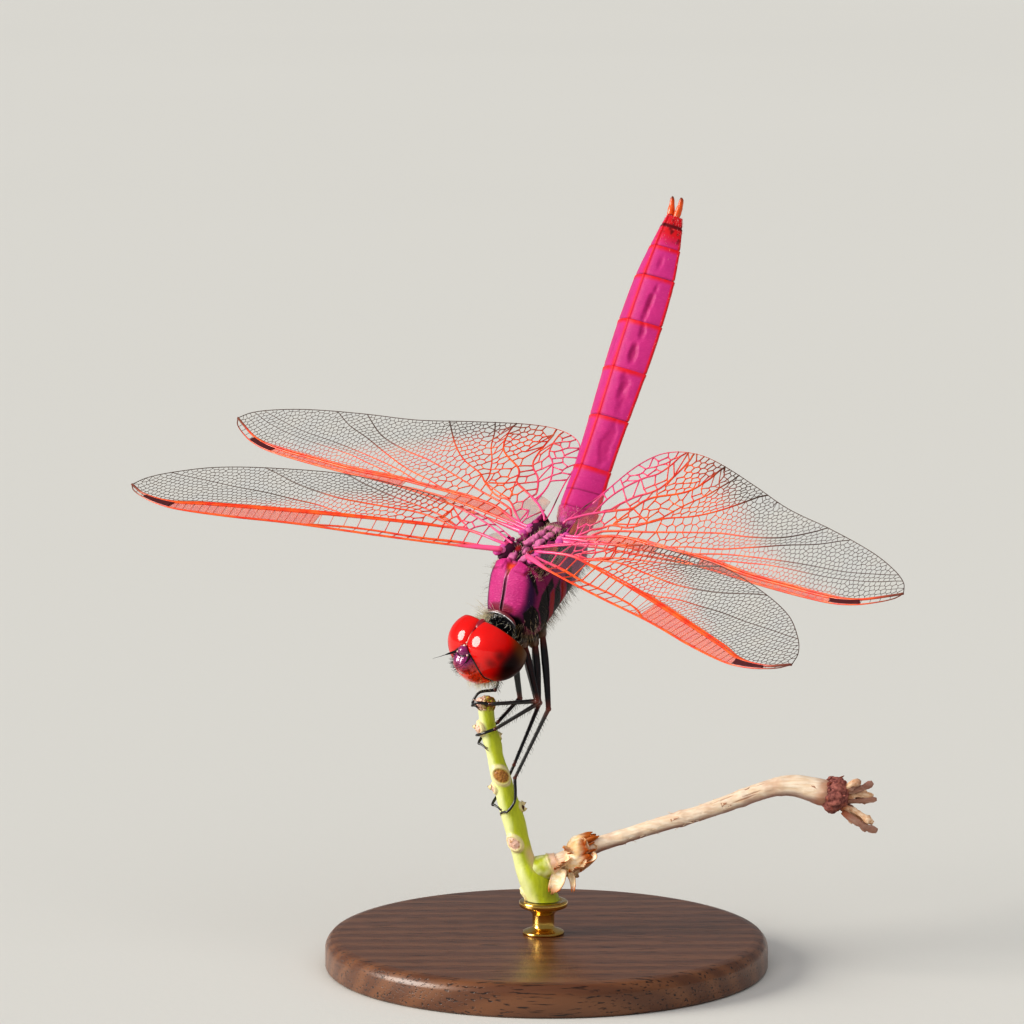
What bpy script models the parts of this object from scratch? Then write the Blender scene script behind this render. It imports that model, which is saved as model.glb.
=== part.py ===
"""A crimson marsh glider dragonfly in the obelisk posture, life size.

It grips the top of a short cut length of stem, which a brass rod holds up from a round wooden base.
The insect hangs under one empty, with +X forward, +Y to its left and +Z dorsal. Sizes are in mm here
and are turned into metres as each mesh is made.
"""

import math

import bmesh
import bpy
from mathutils import Matrix, Vector

MM = 0.001
GAP = 0.05  # clear space between touching parts

# Display stand, with the origin at the centre of its underside
BASE_RADIUS = 16.0
BASE_HEIGHT = 2.4
BASE_BEVEL = 0.4
ROD_RADIUS = 0.8
CUP_RADIUS = 1.75
CUP_HEIGHT = 0.9
STEM_CUT_Z = 4.9
BASE_SIDES, ROD_SIDES = 48, 24
ROD_FOOT_RADIUS = 1.5

# Stem: centre line (x, z), radius, from the cut end up to the chewed tip
STEM = (
    (-0.23, 4.90, 1.20),
    (-0.62, 5.80, 1.22),
    (-1.10, 6.90, 1.10),
    (-1.60, 7.90, 0.82),
    (-2.00, 9.20, 0.78),
    (-2.36, 10.70, 0.82),
    (-2.75, 12.00, 0.80),
    (-3.02, 13.00, 0.72),
    (-3.36, 14.20, 0.72),
    (-3.72, 15.55, 0.58),
    (-3.92, 16.40, 0.66),
    (-4.14, 17.30, 0.60),
    (-4.30, 18.20, 0.55),
    (-4.36, 18.85, 0.58),
    (-4.37, 19.25, 0.72),
    (-4.35, 19.62, 0.60),
    (-4.34, 19.80, 0.25),
)
# Leaf scars on the stem: height, angle round the stem from +X towards +Y, size, how far it stands out
STEM_SCARS = (
    (17.50, 180.0, 0.42, 0.45),
    (16.90, 20.0, 0.28, 0.20),
    (14.15, 275.0, 0.62, 0.22),
    (13.10, 190.0, 0.34, 0.30),
    (11.75, 355.0, 0.34, 0.40),
    (9.20, 235.0, 0.55, 0.30),
    (5.30, 180.0, 0.55, 0.30),
)
STEM_SIDES = 18
STEM_STEP = 0.42

# Dead side twig: (x, y, z), radius
TWIG = (
    (-0.10, -0.03, 7.30, 0.62),
    (1.60, -0.03, 8.02, 0.62),
    (3.10, 0.08, 8.72, 0.58),
    (5.20, 0.20, 9.42, 0.52),
    (8.10, 0.42, 10.30, 0.53),
    (11.10, 0.64, 11.16, 0.56),
    (14.00, 0.85, 12.16, 0.60),
    (16.50, 1.00, 12.98, 0.66),
    (17.90, 1.03, 13.06, 0.78),
    (19.10, 1.00, 12.82, 0.88),
    (20.00, 0.97, 12.58, 0.96),
)
TWIG_SIDES = 14
TWIG_COLLAR = (
    (20.07, 0.97, 12.56, 0.95),
    (20.50, 0.97, 12.48, 1.32),
    (21.10, 0.97, 12.36, 1.34),
    (21.50, 0.97, 12.25, 0.90),
)
# Papery bract round the twig's root: distance along X, radius, lift of its centre
BRACT = ((0.0, 0.80, -0.15), (0.6, 1.40, -0.20), (1.5, 1.70, -0.07), (2.3, 1.20, 0.22))
BRACT_START = (1.15, 7.80)  # x, z
# Frayed end of the twig: where each splinter ends (x, y, z) and its radius
SPLINTERS = (
    (23.10, 0.50, 13.15, 0.36),
    (23.95, 0.95, 12.00, 0.42),
    (23.85, 0.60, 10.15, 0.42),
    (22.60, 1.50, 10.70, 0.36),
)
SPLINTER_ROOT = (21.60, 0.97, 12.20)

# Pose of the insect: place of the fore wing hinges' middle point, heading, nose-down angle and roll
INSECT_PLACE = (-2.15, -0.55, 30.32)
HEADING, NOSE_DOWN, ROLL = -133.0, 31.0, -7.0

# Thorax stations: x, top, bottom, half width, squareness
THORAX = (
    (3.30, -2.95, -4.70, 1.05, 2.0),
    (3.10, -2.60, -5.20, 1.55, 2.1),
    (2.55, -1.95, -5.80, 1.98, 2.2),
    (1.85, -1.05, -6.10, 2.22, 2.3),
    (1.15, -0.42, -5.95, 2.34, 2.5),
    (0.20, -0.38, -5.60, 2.40, 2.7),
    (-1.20, -0.45, -5.25, 2.40, 2.7),
    (-2.50, -0.62, -5.05, 2.30, 2.6),
    (-3.80, -0.85, -4.90, 2.10, 2.4),
    (-4.90, -1.05, -4.60, 1.80, 2.2),
    (-5.55, -1.40, -4.20, 1.40, 2.0),
)
RIDGE_HEIGHT = 0.16  # mid-dorsal carina of the front slope
# Collar behind the head: x, height of its middle, half width, half height
COLLAR = (
    (3.37, -3.70, 1.00, 0.85),
    (3.50, -3.78, 1.30, 1.10),
    (3.80, -3.95, 1.25, 1.05),
    (3.97, -4.05, 0.85, 0.75),
)
NECK = ((4.02, 0.0, -4.10), (4.16, 0.0, -4.08))
NECK_RADIUS = 0.40

# Head: place and angles of its frame on the thorax
HEAD_PLACE = (5.62, 0.08, -4.55)
HEAD_UP, HEAD_TURN = -19.0, -8.0
EYE = {"centre": (-0.10, 0.72, 0.27), "radii": (2.20, 2.42, 2.34)}
EYE_BACK = -1.10
FRONS = {"centre": (1.80, 0.0, 1.18), "radii": (0.92, 1.00, 0.80)}
FACE = {"centre": (1.45, 0.0, 0.35), "radii": (1.30, 1.48, 1.75)}
VERTEX = {"centre": (1.42, 0.0, 1.98), "radii": (0.42, 0.45, 0.40)}
OCCIPUT = {"centre": (-1.12, 0.0, 0.25), "radii": (0.32, 2.20, 1.70)}
FRONS_BACK = 0.8
MOUTH_SPLIT_Z = 0.62
ANTENNA_ROOT = (2.10, 0.95, 2.02)
ANTENNA_REACH = (1.05, 0.35, 0.80)
ANTENNA_RADII = (0.25, 0.25, 0.22)

# Abdomen: place, raise, turn, roll and the end of each of its ten segments along its axis
ABDOMEN_PLACE = (-6.30, 0.0, -1.95)
ABDOMEN_RAISE, ABDOMEN_TURN, ABDOMEN_ROLL = 36.4, 0.5, -9.0
SEGMENT_ENDS = (-0.75, 0.0, 0.85, 4.0, 7.9, 11.55, 15.2, 18.7, 21.0, 22.65, 23.45)
# Half width along the abdomen: distance, half width
ABDOMEN_WIDTH = (
    (-0.75, 1.40), (0.0, 1.74), (0.85, 1.92), (2.6, 1.90), (4.0, 1.86), (6.0, 1.90), (7.9, 1.98),
    (11.55, 2.16), (13.5, 2.22), (15.2, 2.20), (17.0, 2.13), (18.7, 1.98), (21.0, 1.52), (22.65, 1.04),
    (23.45, 0.74),
)
# Height of the roof as a part of the half width
ABDOMEN_DEPTH = (
    (-0.75, 0.80), (0.85, 0.75), (2.5, 0.68), (4.0, 0.62), (7.9, 0.56), (15.2, 0.55), (18.7, 0.56),
    (21.0, 0.62), (23.45, 0.80),
)
BELLY = 0.62  # depth of the belly as a part of the roof's height
WAIST = 0.95  # how far a segment draws in at its front edge
# Tail appendages, behind the last segment: distance, sideways, height, radius
CERCUS = (
    (0.0, 0.30, 0.12, 0.22),
    (0.5, 0.36, 0.16, 0.25),
    (1.0, 0.45, 0.24, 0.22),
    (1.45, 0.52, 0.36, 0.10),
)
EPIPROCT = (
    (0.0, 0.0, -0.24, 0.20),
    (0.4, 0.0, -0.22, 0.22),
    (0.95, 0.0, -0.10, 0.10),
)

WING_THICKNESS = 0.5
# Wing outlines: (fraction of the length, distance ahead of or behind the line from hinge to tip)
FORE_WING = {
    "length": 29.9,
    "leading": (
        (0.0, 0.35), (0.10, 0.80), (0.30, 1.18), (0.50, 1.42), (0.58, 1.60), (0.70, 1.95), (0.84, 2.12),
        (0.90, 1.85), (0.95, 1.30), (0.985, 0.65), (1.0, 0.0),
    ),
    "trailing": (
        (0.0, -1.70), (0.04, -2.50), (0.10, -3.55), (0.20, -4.60), (0.32, -5.35), (0.50, -5.75),
        (0.68, -5.05), (0.83, -3.90), (0.93, -2.30), (0.98, -1.05), (1.0, 0.0),
    ),
}
HIND_WING = {
    "length": 29.2,
    "leading": (
        (0.0, 0.25), (0.20, 0.28), (0.42, 0.50), (0.60, 1.22), (0.75, 1.72), (0.84, 1.88), (0.90, 1.65),
        (0.95, 1.12), (0.985, 0.55), (1.0, 0.0),
    ),
    "trailing": (
        (0.0, -2.00), (0.015, -3.90), (0.032, -6.00), (0.055, -7.90), (0.09, -9.30), (0.13, -9.90),
        (0.18, -10.05), (0.23, -9.85), (0.30, -9.20), (0.42, -7.75), (0.55, -6.10), (0.70, -4.80), (0.85, -3.25),
        (0.94, -1.90), (0.985, -0.85), (1.0, 0.0),
    ),
}
WING_STATIONS = 22
WING_END = 0.997  # part of the length where the plate's blunt tip face lies
# Each wing: outline, hinge, side (+1 left, -1 right), sweep, dihedral, pitch
WINGS = {
    "wing_fore_left": (FORE_WING, (0.0, 1.62, 0.05), 1, 14.0, 7.0, 2.0),
    "wing_fore_right": (FORE_WING, (0.0, -1.62, 0.05), -1, 13.3, 7.8, 7.1),
    "wing_hind_left": (HIND_WING, (-3.08, 1.72, -0.55), 1, -3.1, 2.3, -4.8),
    "wing_hind_right": (HIND_WING, (-3.08, -1.72, -0.55), -1, -3.9, 3.9, 1.0),
}

# Legs, in the insect's frame: hip, knee, ankle, and the foot's points
LEGS = {
    "leg_fore_left": ((2.90, 0.80, -6.35), (5.65, 3.31, -8.44), (7.06, -0.02, -8.52),
                      ((7.45, -0.88, -8.32), (7.51, -1.39, -8.67))),
    "leg_mid_left": ((2.10, 1.05, -6.75), (5.20, 2.87, -9.13), (7.73, 0.39, -10.22),
                     ((8.30, -0.26, -10.32), (8.36, -0.98, -10.67))),
    "leg_hind_left": ((1.20, 1.15, -6.55), (4.87, 3.33, -9.82), (8.66, 1.77, -13.72),
                      ((9.65, 2.13, -14.89), (10.37, 1.84, -15.44))),
    "leg_fore_right": ((2.90, -0.80, -6.35), (4.25, -0.93, -7.85), (5.51, -0.78, -8.67),
                       ((6.30, -1.55, -8.47), (6.98, -1.81, -8.88))),
    "leg_mid_right": ((2.10, -1.05, -6.75), (3.49, -0.80, -11.08), (6.34, -0.66, -11.00),
                      ((7.05, -1.20, -11.29), (8.26, -1.14, -11.46))),
    "leg_hind_right": ((1.20, -1.15, -6.55), (2.70, 0.20, -11.90), (7.16, 0.40, -14.14),
                       ((8.25, 0.04, -15.16), (9.91, 0.02, -15.59))),
}
THIGH_RADII = (0.30, 0.36, 0.27)
SHIN_RADIUS = 0.25
FOOT_RADII = (0.25, 0.25, 0.25, 0.20)
LEG_SIDES = 8
JOINT_ROOM = 0.28  # from a joint's centre to the end of the solid beside it

# Colours, roughness, metallic
PINK = ("#C43482", 0.42, 0.0)
ROSE_RED = ("#C8283C", 0.4, 0.0)
EYE_RED = ("#C4140E", 0.18, 0.0)
FACE_RED = ("#D03A18", 0.3, 0.0)
VIOLET = ("#4A1450", 0.2, 0.6)
BLACK = ("#15100F", 0.35, 0.0)
DARK_MAGENTA = ("#7A1850", 0.42, 0.0)
WING_RED = ("#D8603A", 0.35, 0.0)
STEM_GREEN = ("#B4C044", 0.5, 0.0)
TWIG_TAN = ("#C4A08A", 0.75, 0.0)
BRACT_TAN = ("#C48850", 0.7, 0.0)
FRAY_BROWN = ("#7A4438", 0.8, 0.0)
WALNUT = ("#4A2C1C", 0.4, 0.0)
BRASS = ("#C8A050", 0.3, 1.0)


def linear(hex_colour):
    """An sRGB hex colour as linear RGBA."""
    values = [int(hex_colour[i:i + 2], 16) / 255.0 for i in (1, 3, 5)]
    return [v / 12.92 if v <= 0.04045 else ((v + 0.055) / 1.055) ** 2.4 for v in values] + [1.0]


def make_material(name, look):
    colour, roughness, metallic = look
    material = bpy.data.materials.new(name)
    material.use_nodes = True
    shader = material.node_tree.nodes["Principled BSDF"]
    shader.inputs["Base Color"].default_value = linear(colour)
    shader.inputs["Roughness"].default_value = roughness
    shader.inputs["Metallic"].default_value = metallic
    return material


def add_object(name, bm, look, parent=None, place=(0.0, 0.0, 0.0), angles=(0.0, 0.0, 0.0), smooth=True):
    """Turns a bmesh in mm into a named object in metres, with its own material."""
    bmesh.ops.scale(bm, vec=(MM, MM, MM), verts=bm.verts)
    bmesh.ops.recalc_face_normals(bm, faces=bm.faces)
    mesh = bpy.data.meshes.new(name)
    bm.to_mesh(mesh)
    bm.free()
    for polygon in mesh.polygons:
        polygon.use_smooth = smooth
    mesh.materials.append(make_material(name, look))
    obj = bpy.data.objects.new(name, mesh)
    bpy.context.collection.objects.link(obj)
    obj.parent = parent
    obj.location = Vector(place) * MM
    obj.rotation_euler = [math.radians(a) for a in angles]
    return obj


def add_empty(name, place, angles, parent=None):
    empty = bpy.data.objects.new(name, None)
    bpy.context.collection.objects.link(empty)
    empty.parent = parent
    empty.location = Vector(place) * MM
    empty.rotation_euler = [math.radians(a) for a in angles]
    return empty


def smooth_between(table, at):
    """A smooth curve through (at, value) pairs: Catmull-Rom with unequal steps."""
    if at <= table[0][0]:
        return table[0][1]
    for i in range(len(table) - 1):
        x0, y0 = table[i]
        x1, y1 = table[i + 1]
        if at <= x1:
            span = x1 - x0
            before = table[i - 1] if i else (x0 - span, y0 - (y1 - y0))
            after = table[i + 2] if i + 2 < len(table) else (x1 + span, y1 + (y1 - y0))
            slope0 = (y1 - before[1]) / (x1 - before[0]) * span
            slope1 = (after[1] - y0) / (after[0] - x0) * span
            t = (at - x0) / span
            return (
                (2 * t ** 3 - 3 * t * t + 1) * y0 + (t ** 3 - 2 * t * t + t) * slope0
                + (3 * t * t - 2 * t ** 3) * y1 + (t ** 3 - t * t) * slope1
            )
    return table[-1][1]


def loft(rings):
    """A closed body through rings of points with equal counts."""
    bm = bmesh.new()
    loops = [[bm.verts.new(p) for p in ring] for ring in rings]
    count = len(loops[0])
    for a, b in zip(loops, loops[1:]):
        for i in range(count):
            j = (i + 1) % count
            bm.faces.new((a[i], a[j], b[j], b[i]))
    bm.faces.new(reversed(loops[0]))
    bm.faces.new(loops[-1])
    return bm


def tube_rings(points, radii, sides):
    """Circles across a path, each turned from the last by the least twist."""
    points = [Vector(p) for p in points]
    rings = []
    across = None
    for i, point in enumerate(points):
        ahead = points[min(i + 1, len(points) - 1)] - points[max(i - 1, 0)]
        ahead.normalize()
        if across is None:
            across = ahead.orthogonal().normalized()
        across = (across - ahead * across.dot(ahead)).normalized()
        other = ahead.cross(across)
        turns = [2 * math.pi * k / sides for k in range(sides)]
        rings.append([point + radii[i] * (math.cos(a) * across + math.sin(a) * other) for a in turns])
    return rings


def ellipsoid(centre, radii, angles=(0.0, 0.0, 0.0), around=24, along=14, grow=0.0):
    """An ellipsoid with its poles on Z, grown all round by a clearance."""
    bm = bmesh.new()
    bmesh.ops.create_uvsphere(bm, u_segments=around, v_segments=along, radius=1.0)
    spin = [Matrix.Rotation(math.radians(a), 4, axis) for a, axis in zip(angles, "XYZ")]
    size = Matrix.Diagonal([r + grow for r in radii] + [1.0])
    bm.transform(Matrix.Translation(centre) @ spin[2] @ spin[1] @ spin[0] @ size)
    return bm


def cut_flat(bm, point, normal):
    """Removes what lies on the normal's side of a plane and closes the cut."""
    geometry = bm.verts[:] + bm.edges[:] + bm.faces[:]
    cut = bmesh.ops.bisect_plane(bm, geom=geometry, plane_co=point, plane_no=normal, clear_outer=True)
    edges = [e for e in cut["geom_cut"] if isinstance(e, bmesh.types.BMEdge)]
    bmesh.ops.edgeloop_fill(bm, edges=edges)


def cut_by(obj, cutters):
    """Cuts an object by hidden solids."""
    for cutter in cutters:
        modifier = obj.modifiers.new("cut_" + cutter.name, "BOOLEAN")
        modifier.operation = "DIFFERENCE"
        modifier.solver = "EXACT"
        modifier.object = cutter


def add_cutter(name, bm, parent):
    cutter = add_object(name, bm, BLACK, parent)
    cutter.hide_render = True
    cutter.display_type = "WIRE"
    return cutter


def build_thorax(insect):
    """The winged part of the thorax: a slanting barrel with a keel down its front slope."""
    sides = 26
    rings = []
    for x, top, bottom, half_width, square in THORAX:
        centre, half_height = (top + bottom) / 2, (top - bottom) / 2
        ring = []
        for k in range(sides):
            a = 2 * math.pi * k / sides + math.pi / 2
            c, s = math.cos(a), math.sin(a)
            y = half_width * math.copysign(abs(c) ** (2 / square), c)
            z = centre + half_height * math.copysign(abs(s) ** (2 / square), s)
            if k == 0 and 0.5 < x < 3.2:
                z += RIDGE_HEIGHT
            ring.append((x, y, z))
        rings.append(ring)
    bm = loft(rings)
    raise_by = math.radians(ABDOMEN_RAISE)
    tailward = Vector((-math.cos(raise_by), 0.0, math.sin(raise_by)))
    cut_flat(bm, Vector(ABDOMEN_PLACE) + tailward * (SEGMENT_ENDS[0] - GAP / 2), tailward)
    add_object("thorax", bm, DARK_MAGENTA, insect)


def build_prothorax(insect):
    """The collar behind the head and the slim neck."""
    rings = []
    for x, z, half_width, half_height in COLLAR:
        turns = [2 * math.pi * k / 16 for k in range(16)]
        rings.append([(x, half_width * math.cos(a), z + half_height * math.sin(a)) for a in turns])
    add_object("prothorax", loft(rings), BLACK, insect)
    add_object("neck", loft(tube_rings(NECK, (NECK_RADIUS, NECK_RADIUS), 12)), BLACK, insect)


def build_head(head):
    """Two large eyes that meet on top, with the face between and below them."""
    frons = ellipsoid(**FRONS)
    cut_flat(frons, (0.0, 0.0, MOUTH_SPLIT_Z + GAP), (0.0, 0.0, -1.0))
    cut_flat(frons, (FRONS_BACK, 0.0, 0.0), (-1.0, 0.0, 0.0))
    add_object("head_frons", frons, VIOLET, head)

    face = ellipsoid(**FACE)
    cut_flat(face, (0.0, 0.0, MOUTH_SPLIT_Z), (0.0, 0.0, 1.0))
    cut_flat(face, (EYE_BACK + GAP, 0.0, 0.0), (-1.0, 0.0, 0.0))
    add_object("head_face", face, FACE_RED, head)

    vertex = add_object("head_vertex", ellipsoid(**VERTEX, around=16, along=10), VIOLET, head)
    frons_room = add_cutter("frons_room", ellipsoid(**FRONS, grow=GAP), head)
    face_room = add_cutter("face_room", ellipsoid(**FACE, grow=GAP), head)
    vertex_room = add_cutter("vertex_room", ellipsoid(**VERTEX, around=16, along=10, grow=GAP), head)
    cut_by(vertex, [frons_room])

    x, y, z = EYE["centre"]
    for name, side in (("eye_left", 1), ("eye_right", -1)):
        eye = ellipsoid((x, side * y, z), EYE["radii"], around=26, along=16)
        cut_flat(eye, (0.0, side * GAP / 2, 0.0), (0.0, -side, 0.0))
        cut_flat(eye, (EYE_BACK, 0.0, 0.0), (-1.0, 0.0, 0.0))
        cut_by(add_object(name, eye, EYE_RED, head), [frons_room, face_room, vertex_room])

    occiput = ellipsoid(**OCCIPUT)
    cut_flat(occiput, (EYE_BACK - GAP, 0.0, 0.0), (1.0, 0.0, 0.0))
    add_object("head_occiput", occiput, BLACK, head)

    for name, side in (("antenna_left", 1), ("antenna_right", -1)):
        mirror = Vector((1.0, side, 1.0))
        root = Vector(ANTENNA_ROOT) * mirror
        reach = Vector(ANTENNA_REACH) * mirror
        middle = root + reach / 2 + Vector((0.0, 0.0, 0.08))
        add_object(name, loft(tube_rings((root, middle, root + reach), ANTENNA_RADII, 8)), BLACK, head)


def abdomen_section(at, draw_in=1.0):
    """A flattened, keeled section: a roof with rounded eaves and a shallow belly."""
    half_width = smooth_between(ABDOMEN_WIDTH, at) * draw_in
    half_height = half_width * smooth_between(ABDOMEN_DEPTH, at)
    ring = []
    for k in range(18):
        a = 2 * math.pi * k / 18
        y = math.cos(a)
        if math.sin(a) >= 0:
            z = 1.0 - abs(y) ** 1.6
        else:
            z = -BELLY * math.sqrt(max(0.0, 1.0 - abs(y) ** 2.6))
        ring.append((at, half_width * y, half_height * z))
    return ring


def build_abdomen(abdomen):
    for number, (start, end) in enumerate(zip(SEGMENT_ENDS, SEGMENT_ENDS[1:]), 1):
        start += GAP / 2
        end -= GAP / 2
        steps = max(2, round((end - start) / 1.0))
        rings = [abdomen_section(start, WAIST)]
        for k in range(1, steps + 1):
            rings.append(abdomen_section(start + (end - start) * k / steps))
        look = ROSE_RED if number >= 9 else PINK
        add_object("abdomen_%02d" % number, loft(rings), look, abdomen)
    tails = (("cercus_left", CERCUS, -1), ("cercus_right", CERCUS, 1), ("epiproct", EPIPROCT, 1))
    for name, path, side in tails:
        points = [(SEGMENT_ENDS[-1] + GAP + at, side * y, z) for at, y, z, radius in path]
        rings = tube_rings(points, [p[3] for p in path], 10)
        add_object(name, loft(rings), ROSE_RED, abdomen)


def build_wing(name, insect):
    """A flat plate between the leading and the trailing edge; it lies along its own +X."""
    outline, hinge, side, sweep, dihedral, pitch = WINGS[name]
    length = outline["length"]
    rings = []
    for k in range(WING_STATIONS + 1):
        even = k / WING_STATIONS
        crowded = 0.5 * (1 - math.cos(math.pi * even))
        at = WING_END * (0.35 * crowded + 0.65 * even)
        front = smooth_between(outline["leading"], at)
        back = smooth_between(outline["trailing"], at)
        half = WING_THICKNESS / 2
        ring = []
        for t, z in ((front, -half), (front, half), (back, half), (back, -half)):
            ring.append((at * length, -side * t, z))
        rings.append(ring)
    angles = (-side * pitch, -dihedral, side * (90.0 - sweep))
    add_object(name, loft(rings), WING_RED, insect, hinge, angles, smooth=False)


def shortened(start, end, at_start, at_end):
    """The run between two joints less a clearance at each."""
    start, end = Vector(start), Vector(end)
    along = (end - start).normalized()
    return start + along * at_start, end - along * at_end


def add_limb(name, points, radii, insect):
    """One length of a leg, with its origin on its joint."""
    rings = tube_rings([p - points[0] for p in points], radii, LEG_SIDES)
    add_object(name, loft(rings), BLACK, insect, points[0])


def build_leg(name, insect):
    """A thigh, a shin and a foot."""
    hip, knee, ankle, foot = LEGS[name]
    start, end = shortened(hip, knee, 0.0, JOINT_ROOM)
    add_limb(name + "_thigh", (start, start.lerp(end, 0.4), end), THIGH_RADII, insect)
    start, end = shortened(knee, ankle, JOINT_ROOM, JOINT_ROOM)
    add_limb(name + "_shin", (start, start.lerp(end, 0.5), end), (SHIN_RADIUS,) * 3, insect)
    start, end = shortened(ankle, foot[0], JOINT_ROOM, 0.0)
    add_limb(name + "_foot", (start, start.lerp(end, 0.5), end, Vector(foot[1])), FOOT_RADII, insect)


def build_stem():
    """The cut length of stem, with its leaf scars standing out."""
    across = [(z, x) for x, z, r in STEM]
    girth = [(z, r) for x, z, r in STEM]
    low, high = STEM[0][1], STEM[-1][1]
    levels = round((high - low) / STEM_STEP)
    rings = []
    for k in range(levels + 1):
        z = low + (high - low) * k / levels
        x, radius = smooth_between(across, z), smooth_between(girth, z)
        ring = []
        for i in range(STEM_SIDES):
            a = 2 * math.pi * i / STEM_SIDES
            swell = 0.0
            for height, angle, size, out in STEM_SCARS:
                around = (math.degrees(a) - angle + 180.0) % 360.0 - 180.0
                away = math.hypot(math.radians(around) * radius, z - height) / size
                swell += out * max(0.0, 1.0 - away * away)
            ring.append((x + (radius + swell) * math.cos(a), (radius + swell) * math.sin(a), z))
        rings.append(ring)
    add_object("perch_stem", loft(rings), STEM_GREEN)


def build_twig():
    """The dead side twig, its papery bract, its dark collar and the frayed end."""
    path = [p[:3] for p in TWIG]
    foot = STEM[:6]
    stem_rings = tube_rings([(x, 0.0, z) for x, z, r in foot], [r + 2 * GAP for x, z, r in foot], 20)
    stem_room = add_cutter("stem_room", loft(stem_rings), None)
    rings = tube_rings(path, [p[3] for p in TWIG], TWIG_SIDES)
    cut_by(add_object("perch_twig", loft(rings), TWIG_TAN), [stem_room])

    bract = []
    for at, out, lift in BRACT:
        ring = []
        for k in range(16):
            a = 2 * math.pi * k / 16
            ragged = out * (1.0 + 0.12 * math.cos(3 * a + 4 * at))
            height = BRACT_START[1] + lift + ragged * math.sin(a)
            ring.append((BRACT_START[0] + at, ragged * math.cos(a) * 0.8, height))
        bract.append(ring)
    twig_rings = tube_rings(path, [p[3] + GAP for p in TWIG], TWIG_SIDES)
    twig_room = add_cutter("twig_room", loft(twig_rings), None)
    cut_by(add_object("perch_bract", loft(bract), BRACT_TAN), [twig_room, stem_room])

    collar = tube_rings([p[:3] for p in TWIG_COLLAR], [p[3] for p in TWIG_COLLAR], TWIG_SIDES)
    add_object("perch_twig_collar", loft(collar), FRAY_BROWN)
    root = Vector(SPLINTER_ROOT)
    for number, (x, y, z, radius) in enumerate(SPLINTERS, 1):
        tip = Vector((x, y, z))
        fan = Vector((0.0, (y - root.y) * 0.9, (z - root.z) * 0.42))
        start = root + fan
        middle = start.lerp(tip, 0.5)
        rings = tube_rings((start, middle, tip), (radius * 0.7, radius, radius * 0.45), 8)
        add_object("perch_splinter_%d" % number, loft(rings), BRACT_TAN)


def build_stand():
    """A round base, and a short rod with a cup under the stem's cut end."""
    bm = bmesh.new()
    profile = ((0.0, 0.0), (BASE_RADIUS - BASE_BEVEL / 2, 0.0), (BASE_RADIUS, BASE_BEVEL / 2),
               (BASE_RADIUS, BASE_HEIGHT - BASE_BEVEL), (BASE_RADIUS - BASE_BEVEL, BASE_HEIGHT),
               (0.0, BASE_HEIGHT))
    spin_profile(bm, profile, BASE_SIDES)
    add_object("stand_base", bm, WALNUT, smooth=False)
    low, high = BASE_HEIGHT + GAP, STEM_CUT_Z - GAP
    profile = (
        (0.0, low), (ROD_FOOT_RADIUS, low), (ROD_FOOT_RADIUS, low + 0.3), (ROD_RADIUS, low + 0.45),
        (ROD_RADIUS, high - CUP_HEIGHT), (CUP_RADIUS, high - 0.35), (CUP_RADIUS, high), (0.0, high),
    )
    bm = bmesh.new()
    spin_profile(bm, profile, ROD_SIDES)
    bmesh.ops.translate(bm, verts=bm.verts, vec=(STEM[0][0], 0.0, 0.0))
    add_object("stand_rod", bm, BRASS, smooth=False)


def spin_profile(bm, profile, steps):
    """A solid of revolution about Z from (radius, height) points that start and end on the axis."""
    loops = []
    for radius, height in profile[1:-1]:
        turns = [2 * math.pi * k / steps for k in range(steps)]
        loops.append([bm.verts.new((radius * math.cos(a), radius * math.sin(a), height)) for a in turns])
    for a, b in zip(loops, loops[1:]):
        for i in range(steps):
            j = (i + 1) % steps
            bm.faces.new((a[i], a[j], b[j], b[i]))
    bm.faces.new(reversed(loops[0]))
    bm.faces.new(loops[-1])


def main():
    for obj in list(bpy.data.objects):
        bpy.data.objects.remove(obj, do_unlink=True)
    build_stand()
    build_stem()
    build_twig()
    insect = add_empty("insect", INSECT_PLACE, (ROLL, NOSE_DOWN, HEADING))
    head = add_empty("head", HEAD_PLACE, (0.0, -HEAD_UP, HEAD_TURN), insect)
    abdomen = add_empty("abdomen", ABDOMEN_PLACE, (ABDOMEN_ROLL, -ABDOMEN_RAISE, 180.0 + ABDOMEN_TURN), insect)
    build_thorax(insect)
    build_prothorax(insect)
    build_head(head)
    build_abdomen(abdomen)
    for name in WINGS:
        build_wing(name, insect)
    for name in LEGS:
        build_leg(name, insect)


main()
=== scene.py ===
"""A life-size display model of a crimson marsh glider dragonfly in the obelisk posture.

The insect grips a short cut length of stem on a brass rod and a turned walnut base. Sizes are in
millimetres here and are turned into metres as each mesh is made. The insect's own frame has +X
forward, +Y to its left and +Z dorsal.
"""

import math

import bpy
import numpy as np
from bpy.props import FloatProperty, FloatVectorProperty, PointerProperty
from mathutils import Euler, Matrix, Vector, noise
from mathutils.geometry import delaunay_2d_cdt


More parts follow.
